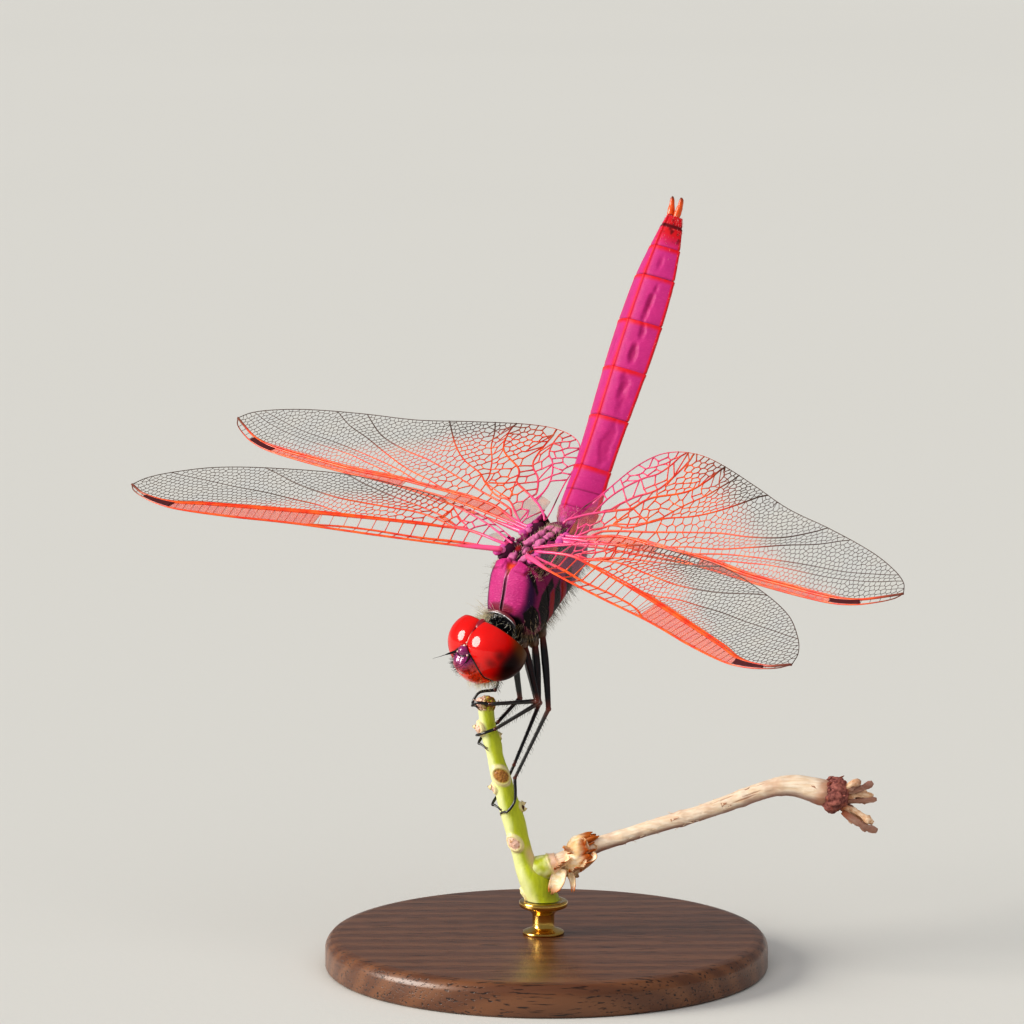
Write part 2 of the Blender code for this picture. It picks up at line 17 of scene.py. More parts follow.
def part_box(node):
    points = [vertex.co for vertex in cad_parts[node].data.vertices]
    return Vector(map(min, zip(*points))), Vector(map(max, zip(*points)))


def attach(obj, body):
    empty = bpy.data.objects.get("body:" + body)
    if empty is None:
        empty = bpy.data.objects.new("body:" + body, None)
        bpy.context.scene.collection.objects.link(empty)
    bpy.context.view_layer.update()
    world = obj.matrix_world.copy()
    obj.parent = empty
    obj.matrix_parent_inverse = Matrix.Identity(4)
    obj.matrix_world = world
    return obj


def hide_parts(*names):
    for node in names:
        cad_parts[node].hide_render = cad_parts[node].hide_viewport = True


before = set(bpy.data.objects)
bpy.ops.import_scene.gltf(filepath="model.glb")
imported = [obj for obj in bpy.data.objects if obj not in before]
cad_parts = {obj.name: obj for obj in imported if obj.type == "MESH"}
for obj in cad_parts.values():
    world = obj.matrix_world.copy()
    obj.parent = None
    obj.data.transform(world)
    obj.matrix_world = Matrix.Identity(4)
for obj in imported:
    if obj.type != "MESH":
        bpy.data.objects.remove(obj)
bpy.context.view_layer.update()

bl_info = {
    "name": "Marsh Glider Dragonfly",
    "version": (1, 0, 0),
    "blender": (4, 5, 0),
    "location": "3D View > Sidebar > Dragonfly",
    "description": "Builds a life-size dragonfly on a cut stem over its packed solids",
    "category": "Add Mesh",
}

MM = 0.001


def linear(colour):
    """An sRGB hex colour as linear RGBA; a colour that is linear already passes unchanged."""
    if not isinstance(colour, str):
        return list(colour)
    values = [int(colour[i:i + 2], 16) / 255.0 for i in (1, 3, 5)]
    return [v / 12.92 if v <= 0.04045 else ((v + 0.055) / 1.055) ** 2.4 for v in values] + [1.0]


def chosen_colours():
    """The colours that the user has set."""
    return bpy.context.scene.dragonfly_colours


def placed(place, angles):
    """The matrix of a frame at a place, turned by XYZ angles in degrees."""
    turn = Euler([math.radians(a) for a in angles])
    return Matrix.Translation(place) @ turn.to_matrix().to_4x4()


def carried(points, matrix):
    """Points moved by a matrix."""
    m = np.array(matrix)
    return np.asarray(points, float) @ m[:3, :3].T + m[:3, 3]


def turned(vectors, matrix):
    """Directions turned by a matrix."""
    return np.asarray(vectors, float) @ np.array(matrix)[:3, :3].T


def unit(vectors):
    length = np.linalg.norm(vectors, axis=-1, keepdims=True)
    return vectors / np.maximum(length, 1e-9)


def hump(value, width):
    """1 where value is 0, falling smoothly to 0 on both sides."""
    return np.exp(-(value / width) ** 2)


def turns(count):
    """Angles evenly round a circle."""
    return 2 * np.pi * np.arange(count) / count


def stacked(*parts):
    """Points from their coordinates, each spread to the shape of all."""
    return np.stack(np.broadcast_arrays(*parts), -1)


def ease(low, high, value):
    """0 at low and 1 at high, with a smooth step between."""
    t = np.clip((np.asarray(value, float) - low) / (high - low), 0.0, 1.0)
    return t * t * (3 - 2 * t)


def smooth_between(table, at):
    """A smooth curve through (at, value...) rows: Catmull-Rom with unequal steps."""
    table = np.array(table, float)
    x, y = table[:, 0], table[:, 1:]
    slope = np.empty_like(y)
    slope[1:-1] = (y[2:] - y[:-2]) / (x[2:] - x[:-2])[:, None]
    slope[0], slope[-1] = (y[1] - y[0]) / (x[1] - x[0]), (y[-1] - y[-2]) / (x[-1] - x[-2])
    at = np.clip(np.asarray(at, float), x[0], x[-1])
    i = np.clip(np.searchsorted(x, at, side="right") - 1, 0, len(x) - 2)
    span = (x[i + 1] - x[i])[..., None]
    t = (at - x[i])[..., None] / span
    value = (
        (2 * t ** 3 - 3 * t * t + 1) * y[i] + (t ** 3 - 2 * t * t + t) * slope[i] * span
        + (3 * t * t - 2 * t ** 3) * y[i + 1] + (t ** 3 - t * t) * slope[i + 1] * span
    )
    return value[..., 0] if y.shape[1] == 1 else value


def through(points, part):
    """Places on a smooth path through points, at parts of its way from 0 to 1."""
    return smooth_between([(i / (len(points) - 1),) + tuple(p) for i, p in enumerate(points)], part)


def grain(points, size, seed=0.0):
    """Smooth noise from about -1 to 1 whose lumps are size millimetres across."""
    flat = np.asarray(points, float).reshape(-1, 3) / size + seed
    values = np.fromiter((noise.noise(Vector(p)) for p in flat), float, len(flat))
    return values.reshape(np.asarray(points).shape[:-1])


def inside(x, y, outline, soft):
    """1 inside an outline and 0 outside, fading over soft millimetres at its edge."""
    x, y = np.asarray(x, float), np.asarray(y, float)
    nearest = np.full(x.shape, 1e9)
    within = np.zeros(x.shape, bool)
    for (ax, ay), (bx, by) in zip(outline, outline[1:] + outline[:1]):
        ex, ey = bx - ax, by - ay
        t = np.clip(((x - ax) * ex + (y - ay) * ey) / (ex * ex + ey * ey), 0, 1)
        nearest = np.minimum(nearest, np.hypot(x - ax - t * ex, y - ay - t * ey))
        crosses = (ay > y) != (by > y)
        within ^= crosses & (x < ax + ex * (y - ay) / (ey if ey else 1e-9))
    return ease(-soft, soft, np.where(within, nearest, -nearest))


# ---- Meshes ----


class Shape:
    """Points in mm, faces, an unwrap and named values of one piece, gathered before its mesh is made."""

    def __init__(self):
        self.points, self.faces, self.corners, self.values, self.count = [], [], [], [], 0

    def add(self, points, faces, corners=None, uv=None, **values):
        """Adds closed bodies; their faces are turned outwards together."""
        points = np.asarray(points, float).reshape(-1, 3)
        volume = 0.0
        for block in faces:
            a = points[block[:, 0]]
            for k in range(1, block.shape[1] - 1):
                volume += np.einsum("ij,ij->i", a, np.cross(points[block[:, k]], points[block[:, k + 1]])).sum()
        for number, block in enumerate(faces):
            place = uv[block] if uv is not None else corners[number] if corners else np.zeros(block.shape + (2,))
            if volume < 0:
                block, place = block[:, ::-1], place[:, ::-1]
            self.faces.append(block + self.count)
            self.corners.append(place)
        self.points.append(points)
        self.values.append((len(points), values))
        self.count += len(points)

    def piece(self, name, material, slot, replaces=()):
        """The mesh as a piece that rides with the model and stands for CAD nodes."""
        mesh = bpy.data.meshes.new(name)
        points = np.concatenate(self.points) * MM
        mesh.vertices.add(len(points))
        mesh.vertices.foreach_set("co", points.ravel())
        loops = np.concatenate([f.ravel() for f in self.faces])
        totals = np.concatenate([np.full(len(f), f.shape[1]) for f in self.faces])
        mesh.loops.add(len(loops))
        mesh.loops.foreach_set("vertex_index", loops.astype(np.int32))
        mesh.polygons.add(len(totals))
        starts = np.concatenate([[0], np.cumsum(totals)[:-1]])
        mesh.polygons.foreach_set("loop_start", starts.astype(np.int32))
        mesh.polygons.foreach_set("use_smooth", np.ones(len(totals), bool))
        mesh.update(calc_edges=True)
        unwrap = mesh.uv_layers.new(name="OFBake")
        unwrap.data.foreach_set("uv", np.concatenate([c.reshape(-1, 2) for c in self.corners]).ravel())
        for key in sorted({key for _, values in self.values for key in values}):
            layer = mesh.attributes.new(key, "FLOAT", "POINT")
            parts = [np.broadcast_to(np.ravel(v.get(key, 0.0)), n) for n, v in self.values]
            layer.data.foreach_set("value", np.concatenate(parts).astype(np.float32))
        mesh.validate()
        mesh.materials.append(material)
        obj = bpy.data.objects.new(name, mesh)
        bpy.context.collection.objects.link(obj)
        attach(obj, "root")
        if replaces:
            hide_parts(*replaces)
        return obj


def quads_between(here, beside):
    """Four-sided faces between rows of point numbers and the numbers beside them."""
    return np.stack([here[:-1], beside[:-1], beside[1:], here[1:]], -1).reshape(-1, 4)


def body(rings):
    """Points, faces and unwrapped corners of a closed body through rings of points."""
    rows, columns = rings.shape[:2]
    index = np.arange(rows * columns).reshape(rows, columns)
    after = np.roll(index, -1, axis=1)
    quads = quads_between(index, after)
    u = np.arange(columns) / columns
    v = np.linspace(0.02, 0.98, rows)
    du, dv = 1 / columns, v[1] - v[0]
    corner = np.stack(np.meshgrid(u, v[:-1]), -1)
    corners = np.stack([corner, corner + (du, 0), corner + (du, dv), corner + (0, dv)], -2).reshape(-1, 4, 2)
    points = rings.reshape(-1, 3)
    first, last = len(points), len(points) + 1
    points = np.concatenate([points, rings[:1].mean(axis=1), rings[-1:].mean(axis=1)])
    low = np.stack([after[0], index[0], np.full(columns, first)], -1)
    high = np.stack([index[-1], after[-1], np.full(columns, last)], -1)
    low_uv = np.stack([np.stack([u + du, u, u], -1), np.tile((0.02, 0.02, 0.0), (columns, 1))], -1)
    high_uv = np.stack([np.stack([u, u + du, u], -1), np.tile((0.98, 0.98, 1.0), (columns, 1))], -1)
    return points, [quads, low, high], [corners, low_uv, high_uv]


def add_body(shape, rings, matrix=None, **values):
    """Adds a closed body through rings; each value is one number or one for each point of the rings."""
    points, faces, corners = body(rings)
    if matrix is not None:
        points = carried(points, matrix)
    spread = {}
    for key, value in values.items():
        value = np.broadcast_to(np.asarray(value, float), rings.shape[:2])
        spread[key] = np.concatenate([value.ravel(), [value[0].mean(), value[-1].mean()]])
    shape.add(points, faces, corners, **spread)


def outward(rings):
    """Unit normals of rings of points, away from each ring's middle."""
    along = np.gradient(rings, axis=0)
    around = np.roll(rings, -1, axis=1) - np.roll(rings, 1, axis=1)
    normals = unit(np.cross(along, around))
    away = rings - rings.mean(axis=1, keepdims=True)
    return normals * np.where(np.einsum("ijk,ijk->", normals, away) < 0, -1.0, 1.0)


def add_tubes(shape, paths, radii, sides, up, patches=None, flat=1.0, **values):
    """Adds closed tapering tubes: one for each path, with a radius at each of its points."""
    paths = np.asarray(paths, float)
    count, steps = paths.shape[:2]
    radii = np.broadcast_to(np.asarray(radii, float), (count, steps))
    ahead = unit(np.gradient(paths, axis=1))
    across = unit(np.cross(ahead, np.broadcast_to(np.asarray(up, float), paths.shape)))
    other = np.cross(across, ahead)
    turn = turns(sides)
    ring = np.cos(turn)[:, None] * across[:, :, None] + flat * np.sin(turn)[:, None] * other[:, :, None]
    rings = (paths[:, :, None] + radii[..., None, None] * ring).reshape(count, -1, 3)
    points = np.concatenate([rings, paths[:, :1], paths[:, -1:]], axis=1)
    index = np.arange(steps * sides).reshape(steps, sides)
    after = np.roll(index, -1, axis=1)
    quads = quads_between(index, after)
    low = np.stack([after[0], index[0], np.full(sides, steps * sides)], -1)
    high = np.stack([index[-1], after[-1], np.full(sides, steps * sides + 1)], -1)
    offset = (np.arange(count) * points.shape[1])[:, None, None]
    faces = [(block[None] + offset).reshape(-1, block.shape[1]) for block in (quads, low, high)]
    if patches is None:
        patches = np.stack([np.linspace(0.02, 0.98, count), np.full(count, 0.5)], -1)
    k, n = np.meshgrid(np.arange(sides) / sides, np.arange(steps) / steps)
    local = np.concatenate([np.stack([k, n], -1).reshape(-1, 2), [(0.5, 0.0), (0.5, 1.0)]]) * 0.003
    uv = (np.asarray(patches, float)[:, None] + local[None]).reshape(-1, 2)
    spread = {}
    for key, value in values.items():
        value = np.broadcast_to(np.asarray(value, float), (count, steps))
        ends = np.stack([value[:, 0], value[:, -1]], -1)
        spread[key] = np.concatenate([np.repeat(value, sides, axis=1), ends], axis=1).ravel()
    shape.add(points.reshape(-1, 3), faces, uv=uv, **spread)


def unit_ball(rows, columns, margin=0.02):
    """A unit sphere as rows of points that stop a small angle short of its poles."""
    tilt, turn = np.linspace(margin, np.pi - margin, rows)[:, None], turns(columns)
    return stacked(np.sin(tilt) * np.cos(turn), np.sin(tilt) * np.sin(turn), np.cos(tilt))


def add_ball(shape, centre, radii, matrix=None, rows=20, columns=28, lumpy=0.0, **values):
    """Adds an ellipsoid, its surface made uneven by a part of its size."""
    ring = unit_ball(rows, columns)
    if lumpy:
        ring = ring * (1 + lumpy * grain(ring + np.asarray(centre), 0.6))[..., None]
    add_body(shape, ring * np.asarray(radii, float) + np.asarray(centre, float), matrix, **values)


def add_hairs(shape, roots, aims, lengths, thickness, patches, sag, rng, sides=3, **values):
    """Adds tapering hairs: each leaves its root along its aim and bends towards sag."""
    count = len(roots)
    t = np.linspace(0.0, 1.0, 5)[None, :, None]
    lengths = np.asarray(lengths, float)[:, None, None]
    aims = unit(aims)
    bend = np.asarray(sag, float) + 0.25 * rng.standard_normal((count, 3))
    paths = roots[:, None] + lengths * (t * aims[:, None] + t * t * 0.5 * bend[:, None])
    taper = np.array((1.0, 0.9, 0.72, 0.45, 0.12))
    up = unit(rng.standard_normal((count, 3)))[:, None]
    add_tubes(shape, paths, np.asarray(thickness) * np.broadcast_to(taper, (count, 5)), sides, up, patches,
              **values)


def scattered(rings, weight, count, rng):
    """Picks points on rings by weight: their places, outward normals and places on the unwrap."""
    normals = outward(rings)
    chance = np.maximum(weight, 0).ravel()
    picks = rng.choice(len(chance), count, p=chance / chance.sum())
    row, column = np.divmod(picks, rings.shape[1])
    patches = np.stack([column / rings.shape[1], 0.02 + 0.96 * row / (rings.shape[0] - 1)], -1)
    return rings[row, column], normals[row, column], np.clip(patches, 0.0, 0.996)


def hair_radius():
    """Radius of a body hair at its root, in mm."""
    return bpy.context.scene.dragonfly_sizes.hair_thickness / MM


def grow_hairs(shape, rings, matrix, weight, count, rng, lean, lengths, stout=1.0, upright=1.0, sag=(0, 0, 0),
               sink=0.03):
    """Adds hairs to the skin through rings: upright tells how far they stand out, lean where they lie."""
    root, normal, patch = scattered(rings, weight, count, rng)
    aim = normal * upright + lean
    add_hairs(shape, carried(root - sink * normal, matrix), turned(aim, matrix), rng.uniform(*lengths, len(root)),
              stout * hair_radius(), patch, sag, rng)


# ---- Materials ----


def node(tree, kind, links=None, **settings):
    """Adds a node with its settings; links give each input a value or another node's output."""
    new = tree.nodes.new(kind)
    for key, value in settings.items():
        setattr(new, key, value)
    for key, value in (links or {}).items():
        if isinstance(value, bpy.types.NodeSocket):
            tree.links.new(value, new.inputs[key])
        else:
            new.inputs[key].default_value = value
    return new


def surface(name, **sockets):
    """A new material with constant values on its shader's own sockets, and its node tree."""
    material = bpy.data.materials.new(name)
    material.use_nodes = True
    shader = material.node_tree.nodes["Principled BSDF"]
    for key, value in sockets.items():
        shader.inputs[key.replace("_", " ")].default_value = value
    return material, material.node_tree


def mottle(tree, size, detail=3.0, stretch=(1.0, 1.0, 1.0)):
    """Noise whose lumps are size millimetres across, stretched along each axis."""
    place = node(tree, "ShaderNodeTexCoord").outputs["Object"]
    place = node(tree, "ShaderNodeMapping", {0: place, 3: stretch}).outputs[0]
    inputs = {"Vector": place, "Scale": 1 / (size * MM), "Detail": detail}
    return node(tree, "ShaderNodeTexNoise", inputs).outputs[0]


def between(tree, value, low, high, to_low=0.0, to_high=1.0):
    """A value taken from one range to another and kept inside it."""
    links = {0: value, 1: low, 2: high, 3: to_low, 4: to_high}
    return node(tree, "ShaderNodeMapRange", links).outputs[0]


def patches(tree, size, low=0.35, high=0.65, most=1.0, **kind):
    """Soft patches, size millimetres across, where the noise passes from low to high."""
    return between(tree, mottle(tree, size, **kind), low, high, 0.0, most)


def painted(tree, base, layers):
    """Colours laid one over another, each through its own mask."""
    below = base if isinstance(base, bpy.types.NodeSocket) else linear(base)
    for mask, colour in layers:
        if isinstance(mask, str):
            mask = node(tree, "ShaderNodeAttribute", attribute_name=mask).outputs["Fac"]
        if not isinstance(colour, bpy.types.NodeSocket):
            colour = linear(colour)
        mixed = node(tree, "ShaderNodeMix", {0: mask, 6: below, 7: colour}, data_type="RGBA")
        below = mixed.outputs[2]
    return below


def finished(material, base, layers, height=None, depth=0.0, strength=1.0):
    """The material with colours laid over its base, and with fine relief, depth millimetres deep."""
    tree = material.node_tree
    shader = tree.nodes["Principled BSDF"]
    tree.links.new(painted(tree, base, layers), shader.inputs["Base Color"])
    if height:
        bump = node(tree, "ShaderNodeBump", {"Strength": strength, "Distance": depth * MM, "Height": height})
        tree.links.new(bump.outputs[0], shader.inputs["Normal"])
    return material


def shared(name, make, *values, **settings):
    """A material that several pieces use, made once."""
    return bpy.data.materials.get(name) or make(name, *values, **settings)


def waxy_cuticle(name, base, layers, lift=0.012, bloom=0.45):
    """Chitin under a wax bloom, as on a mature male: soft powdery pink with fine cross wrinkles
    and a scatter of pale wax grains."""
    material, tree = surface(
        name, Roughness=0.48, Specular_IOR_Level=0.24, Sheen_Weight=0.03, Sheen_Roughness=0.5)
    base = linear(base)
    dusk = [base[0] * 0.62, base[1] * 0.45, base[2] * 0.72, 1.0]
    pale = [min(1.0, c * 1.5 + 0.08) for c in base[:3]] + [1.0]
    clouds = between(tree, patches(tree, 0.9, 0.35, 0.7), 0.0, 1.0, 0.30, 0.0)
    # Cross wrinkles are about 0.02 mm apart on the real one; 0.2 mm shows
    wrinkles = mottle(tree, 0.20, 3.0, (1.0, 1.0, 3.2))
    streaks = between(tree, wrinkles, 0.52, 0.72, 0.0, 0.9 * bloom)
    grains = patches(tree, 0.07, 0.66, 0.78, bloom, detail=1.0)
    return finished(material, base, [(clouds, dusk), (streaks, pale), (grains, pale)] + layers, wrinkles, lift)


def hard_chitin(name, base, layers=(), rough=0.3, coat=0.3, size=0.12, lift=0.01):
    """Bare sclerotised chitin: smooth and lacquer-like with faint pitting."""
    material, tree = surface(name, Roughness=rough, Coat_Weight=coat, Coat_Roughness=0.12)
    base = linear(base)
    lighter = [min(1.0, c * 1.4 + 0.004) for c in base[:3]] + [1.0]
    stack = [(patches(tree, 0.5, 0.35, 0.7, 0.55), lighter)] + list(layers)
    return finished(material, base, stack, mottle(tree, size, 2.0), lift)


def hair_keratin(name, base, tip):
    """Chitin bristle: thin, slightly glossy, paler where it catches light."""
    material, tree = surface(name, Roughness=0.38)
    return finished(material, base, [(patches(tree, 0.8), tip)])


def eye_lens(colours):
    """Compound eye: clear hexagonal corneal lenses over red screening pigment, which gives a wet
    lacquer look. The real lenses are 0.03 mm across; 0.06 mm just shows in the glints."""
    material, tree = surface(
        "compound_eye_cornea", Roughness=0.40, Specular_IOR_Level=0.06, Coat_Roughness=0.04, Coat_IOR=1.75)
    # The flank is painted dark as shade, and its coat is thinner there, so it mirrors less than the crown
    flank = node(tree, "ShaderNodeAttribute", attribute_name="dull").outputs["Fac"]
    coat = between(tree, flank, 0.0, 1.0, 0.62, 0.06)
    tree.links.new(coat, tree.nodes["Principled BSDF"].inputs["Coat Weight"])
    place = node(tree, "ShaderNodeTexCoord").outputs["Object"]
    lens = node(tree, "ShaderNodeTexVoronoi", {"Vector": place, "Scale": 1 / (0.06 * MM)}).outputs["Distance"]
    # gap is painted shade where the eye meets the face
    stack = [(patches(tree, 1.4, 0.3, 0.7, 0.35), "#E01408"), ("shade", "#2C0306"), ("olive", "#5E380A"),
             ("blob", "#120304"), ("gap", "#0A0405")]
    return finished(material, colours.eye_red, stack, lens, 0.0012, 0.6)


def face_chitin(colours):
    """Bare face: metallic violet structural colour above, translucent crimson to orange below."""
    material, tree = surface("face_chitin", Roughness=0.24, Metallic=0.12, Coat_Weight=1.0, Coat_Roughness=0.09)
    # The darkest layer is painted shade in the face's creases; the dark dots are pits, and the darkening along
    # the furrow is painted shade
    stack = [(patches(tree, 0.5, 0.40, 0.66, 0.28), "#D42208"), ("crimson", "#B20C26"),
             ("violet", colours.violet), ("spot", "#1C0410"), ("gap", "#080305")]
    return finished(material, colours.face_orange, stack, mottle(tree, 0.16, 2.0), 0.014)


def ocellus_lens():
    """Simple eye: one clear wet lens over pale tissue."""
    material, tree = surface("ocellus_lens", Roughness=0.12, Coat_Weight=1.0, Coat_Roughness=0.05)
    return finished(material, "#FAF0E4", [(patches(tree, 0.12), "#E8B8A0")], mottle(tree, 0.08), 0.003)


def wing_vein(colours):
    """Wing vein: hollow chitin tube filled with red pigment, brown and thin towards the edge."""
    material, tree = surface("wing_vein_chitin", Roughness=0.34, Coat_Weight=0.3, Coat_Roughness=0.2)
    stack = [(patches(tree, 0.9, most=0.7), "#F4701E"), ("pink", "#E8508A"), ("far", "#4C382E"),
             ("dark", "#2A0E10")]
    return finished(material, colours.vein_red, stack, mottle(tree, 0.12, 2.0), 0.008)


def membrane_film(name, alpha, colour, darker, rough=0.22, size=0.8):
    """Wing membrane: clear chitin film a few thousandths of a millimetre thick, with a faint sheen;
    stained film has pigment in it."""
    material, tree = surface(name, Roughness=rough, Alpha=alpha, IOR=1.56)
    return finished(material, colour, [(patches(tree, size), darker)])


def green_stem(colours):
    """Fresh green herb stem: waxy skin over wet tissue, with corky leaf scars and a torn tip."""
    material, tree = surface("living_stem_skin", Roughness=0.42, Subsurface_Weight=0.12,
                             Subsurface_Scale=0.4 * MM, Subsurface_Radius=(1.0, 1.0, 0.4))
    brown = painted(tree, "#C08C44", [(patches(tree, 0.12), "#8A5426")])
    streaks = patches(tree, 0.5, 0.35, 0.7, 0.55, stretch=(2.2, 2.2, 0.5))
    # pale is painted light on the side towards the key light, and also the real pale of some scars and of the
    # twig's socket
    stack = [(streaks, "#A2B020"), ("pale", "#E6E8AC"), ("pinkish", "#E8C0AC"), ("rim", "#E8D8A8"),
             ("cork", brown), ("dark", "#4A1E14")]
    return finished(material, colours.stem_green, stack, mottle(tree, 0.16, 4.0), 0.03)


def dry_bark(name, base, light, dark, length=6.0, lift=0.05, torn="#9A4E22"):
    """Dead weathered bark: dry, matt, with lengthwise fibres about 0.1 mm wide."""
    material, tree = surface(name, Roughness=0.82)
    fibres = mottle(tree, 0.22, 5.0, (1.0 / length, 1.0, 1.0))
    # under is painted shade on the twig's underside; on the bract it darkens the root of the cup, and on the
    # frayed end some fibres
    stack = [(between(tree, fibres, 0.38, 0.62), light), (patches(tree, 1.6, 0.45, 0.7, 0.7), dark),
             ("under", "#8A5A56"), ("edge", torn)]
    return finished(material, base, stack, fibres, lift)


def oiled_walnut():
    """Walnut turned on a lathe and oiled: growth rings show as dark figure, pores as short dashes."""
    material, tree = surface("oiled_walnut", Roughness=0.36, Coat_Weight=0.25, Coat_Roughness=0.25)
    place = node(tree, "ShaderNodeTexCoord").outputs["Object"]
    place = node(tree, "ShaderNodeMapping", {0: place, 1: (0.004, 0.03, 0.012), 3: (0.16, 1.0, 1.0)}).outputs[0]
    rings = node(tree, "ShaderNodeTexWave", {
        "Vector": place, "Scale": 170.0, "Distortion": 7.0, "Detail": 3.0, "Detail Scale": 0.6},
        wave_type="RINGS").outputs["Fac"]
    pores = patches(tree, 0.16, 0.58, 0.68, detail=2.0, stretch=(0.06, 1.0, 1.0))
    stack = [(between(tree, rings, 0.2, 0.95), "#744A2E"), (pores, "#2A160E")]
    return finished(material, "#603A24", stack, pores, -0.02)


def lacquered_brass():
    """Drawn brass rod, polished and lacquered: warm metal with faint turning lines."""
    material, tree = surface("lacquered_brass", Roughness=0.2, Metallic=1.0, Coat_Weight=0.4)
    tarnish = patches(tree, 1.2, 0.5, 0.75, 0.5)
    lines = mottle(tree, 0.08, 2.0, (0.1, 0.1, 1.0))
    return finished(material, "#E0B860", [(tarnish, "#A87838")], lines, 0.004)


def studio_card():
    """Matt painted board: pale and even, with a very faint tooth."""
    material, tree = surface("matt_studio_board", Roughness=0.85)
    return finished(material, "#D2D0CA", [(patches(tree, 700.0, 0.3, 0.7), "#D4D2CC")],
                    mottle(tree, 0.6, 2.0), 0.01)


# ---- Places and sizes, in mm ----

INSECT = placed((-2.15, -0.55, 30.32), (-7.0, 31.0, -133.0))
HEAD = INSECT @ placed((5.62, 0.08, -4.55), (0.0, 19.0, -8.0))
ABDOMEN = INSECT @ placed((-6.30, 0.0, -1.95), (-9.0, -36.4, 180.5))

# Thorax stations from the rear: x, top, bottom, half width, squareness
THORAX = (
    (-5.55, -1.40, -4.20, 1.40, 2.0), (-4.90, -1.05, -4.60, 1.80, 2.2), (-3.80, -0.85, -4.90, 2.10, 2.4),
    (-2.50, -0.62, -5.05, 2.30, 2.6), (-1.20, -0.45, -5.25, 2.40, 2.7), (0.20, -0.38, -5.60, 2.40, 2.7),
    (1.15, -0.42, -5.95, 2.34, 2.5), (1.85, -1.05, -6.10, 2.22, 2.3), (2.55, -1.95, -5.80, 1.98, 2.2),
    (3.10, -2.60, -5.20, 1.55, 2.1), (3.30, -2.95, -4.70, 1.05, 2.0),
)
THORAX_AXIS_Z = -3.2
# Raised plates of the back, on both sides: x, y, half length, half width, turn, height, bloom colour
BACK_PLATES = (
    (0.02, 0.56, 0.50, 0.34, 25.0, 0.22, "lavender"), (-0.05, 1.30, 0.46, 0.34, -25.0, 0.34, "bloom"),
    (-0.85, 0.0, 0.46, 0.30, 0.0, 0.32, "lavender"), (-0.92, 0.74, 0.50, 0.26, 35.0, 0.20, "red"),
    (-1.30, 1.42, 0.42, 0.26, -20.0, 0.26, "bloom"), (-1.95, 0.44, 0.66, 0.36, -10.0, 0.28, "lavender"),
    (-2.15, 1.25, 0.50, 0.32, -26.0, 0.34, "bloom"), (-3.10, 0.40, 0.60, 0.36, 8.0, 0.24, "lavender"),
    (-3.20, 1.30, 0.44, 0.26, -20.0, 0.28, "bloom"), (-4.05, 0.38, 0.42, 0.34, -8.0, 0.18, "lavender"),
)
# Markings of the side, on both sides: colour and outline as x and degrees round from level. The purple one is
# partly painted shade, where the plate's edge turns from the light
SIDE_MARKS = (
    ("purple", ((0.85, 62), (1.10, 60), (1.95, 38), (2.80, 8), (3.00, -12), (2.60, -14), (1.65, 18), (1.0, 44))),
    ("black", ((0.72, 60), (1.05, 55), (1.30, 41), (1.48, 23), (1.28, 25), (1.05, 38), (0.80, 48))),
    ("black", ((2.05, 13), (2.78, 6), (3.05, -25), (2.50, -48), (2.0, -32), (1.85, -5))),
    ("black", ((-0.4, 28), (0.1, 25), (1.1, 18), (1.78, 0), (1.9, -42), (1.2, -62), (0.85, -15), (0.35, 8),
               (-0.2, 13))),
    ("red", ((-0.15, 10), (0.32, 7), (0.80, -15), (1.1, -62), (0.62, -62), (0.35, -22), (0.0, -2))),
    ("black", ((-1.2, 17), (-0.25, 9), (0.0, -3), (0.35, -22), (0.6, -62), (-0.4, -62), (-0.5, -22), (-0.7, 4))),
    ("red", ((-1.4, 8), (-0.8, 2), (-0.6, -22), (-0.5, -60), (-1.1, -60), (-1.2, -20))),
    ("black", ((-2.6, 20), (-1.6, 12), (-1.35, -20), (-1.2, -62), (-2.2, -62), (-2.1, -10))),
)
# Collar behind the head: x, z of its middle, half width, half height
COLLAR = (
    (3.30, -3.68, 0.80, 0.70), (3.37, -3.70, 1.00, 0.85), (3.50, -3.78, 1.30, 1.10), (3.80, -3.95, 1.25, 1.05),
    (3.97, -4.05, 0.85, 0.75), (4.20, -4.08, 0.42, 0.42), (4.60, -4.10, 0.36, 0.36),
)

# Lumps at each wing's root: place from the hinge, radii, tone
ROOT_KNOBS = (
    ((0.34, -0.02, -0.10), (0.30, 0.34, 0.22), {}), ((0.02, -0.22, -0.16), (0.30, 0.30, 0.22), {"lavender": 0.8}),
    ((-0.36, -0.05, -0.14), (0.28, 0.30, 0.18), {}), ((-0.80, -0.12, -0.18), (0.30, 0.26, 0.16), {"red": 0.5}),
    ((-1.25, -0.10, -0.22), (0.30, 0.22, 0.14), {"magenta": 1.0}),
    # The large black lump is painted shade: it stands for the shaded hollow below the wing's root
    ((-0.40, -0.26, -0.50), (0.95, 0.55, 0.46), {"black": 0.9}),
)

EYE_CENTRE, EYE_RADII, EYE_BACK = (-0.10, 0.72, 0.27), (2.20, 2.42, 2.34), -1.10
# Dark patches of the left eye: direction from its middle, half width, depth of tone
FALSE_PUPILS = (((0.30, 0.95, 0.02), 0.27, 0.95), ((0.30, 0.82, 0.52), 0.15, 0.60),
                ((0.62, 0.62, 0.45), 0.15, 0.55))
# Swellings that join into the face: centre, radii
FACE_LUMPS = (
    ((1.45, 0.0, 0.35), (1.30, 1.48, 1.75)),
    ((1.80, 0.0, 1.18), (0.92, 1.00, 0.80)),
    ((1.42, 0.0, 1.98), (0.42, 0.45, 0.40)),
    ((1.28, 0.0, -0.28), (1.20, 1.78, 1.10)),
)
FACE_HEART = (0.75, 0.0, 0.75)
# Grooves across the face: height, width, depth
FACE_SEAMS = ((0.80, 0.07, 0.016), (0.16, 0.07, 0.012), (-0.42, 0.06, 0.014), (-1.02, 0.06, 0.08))
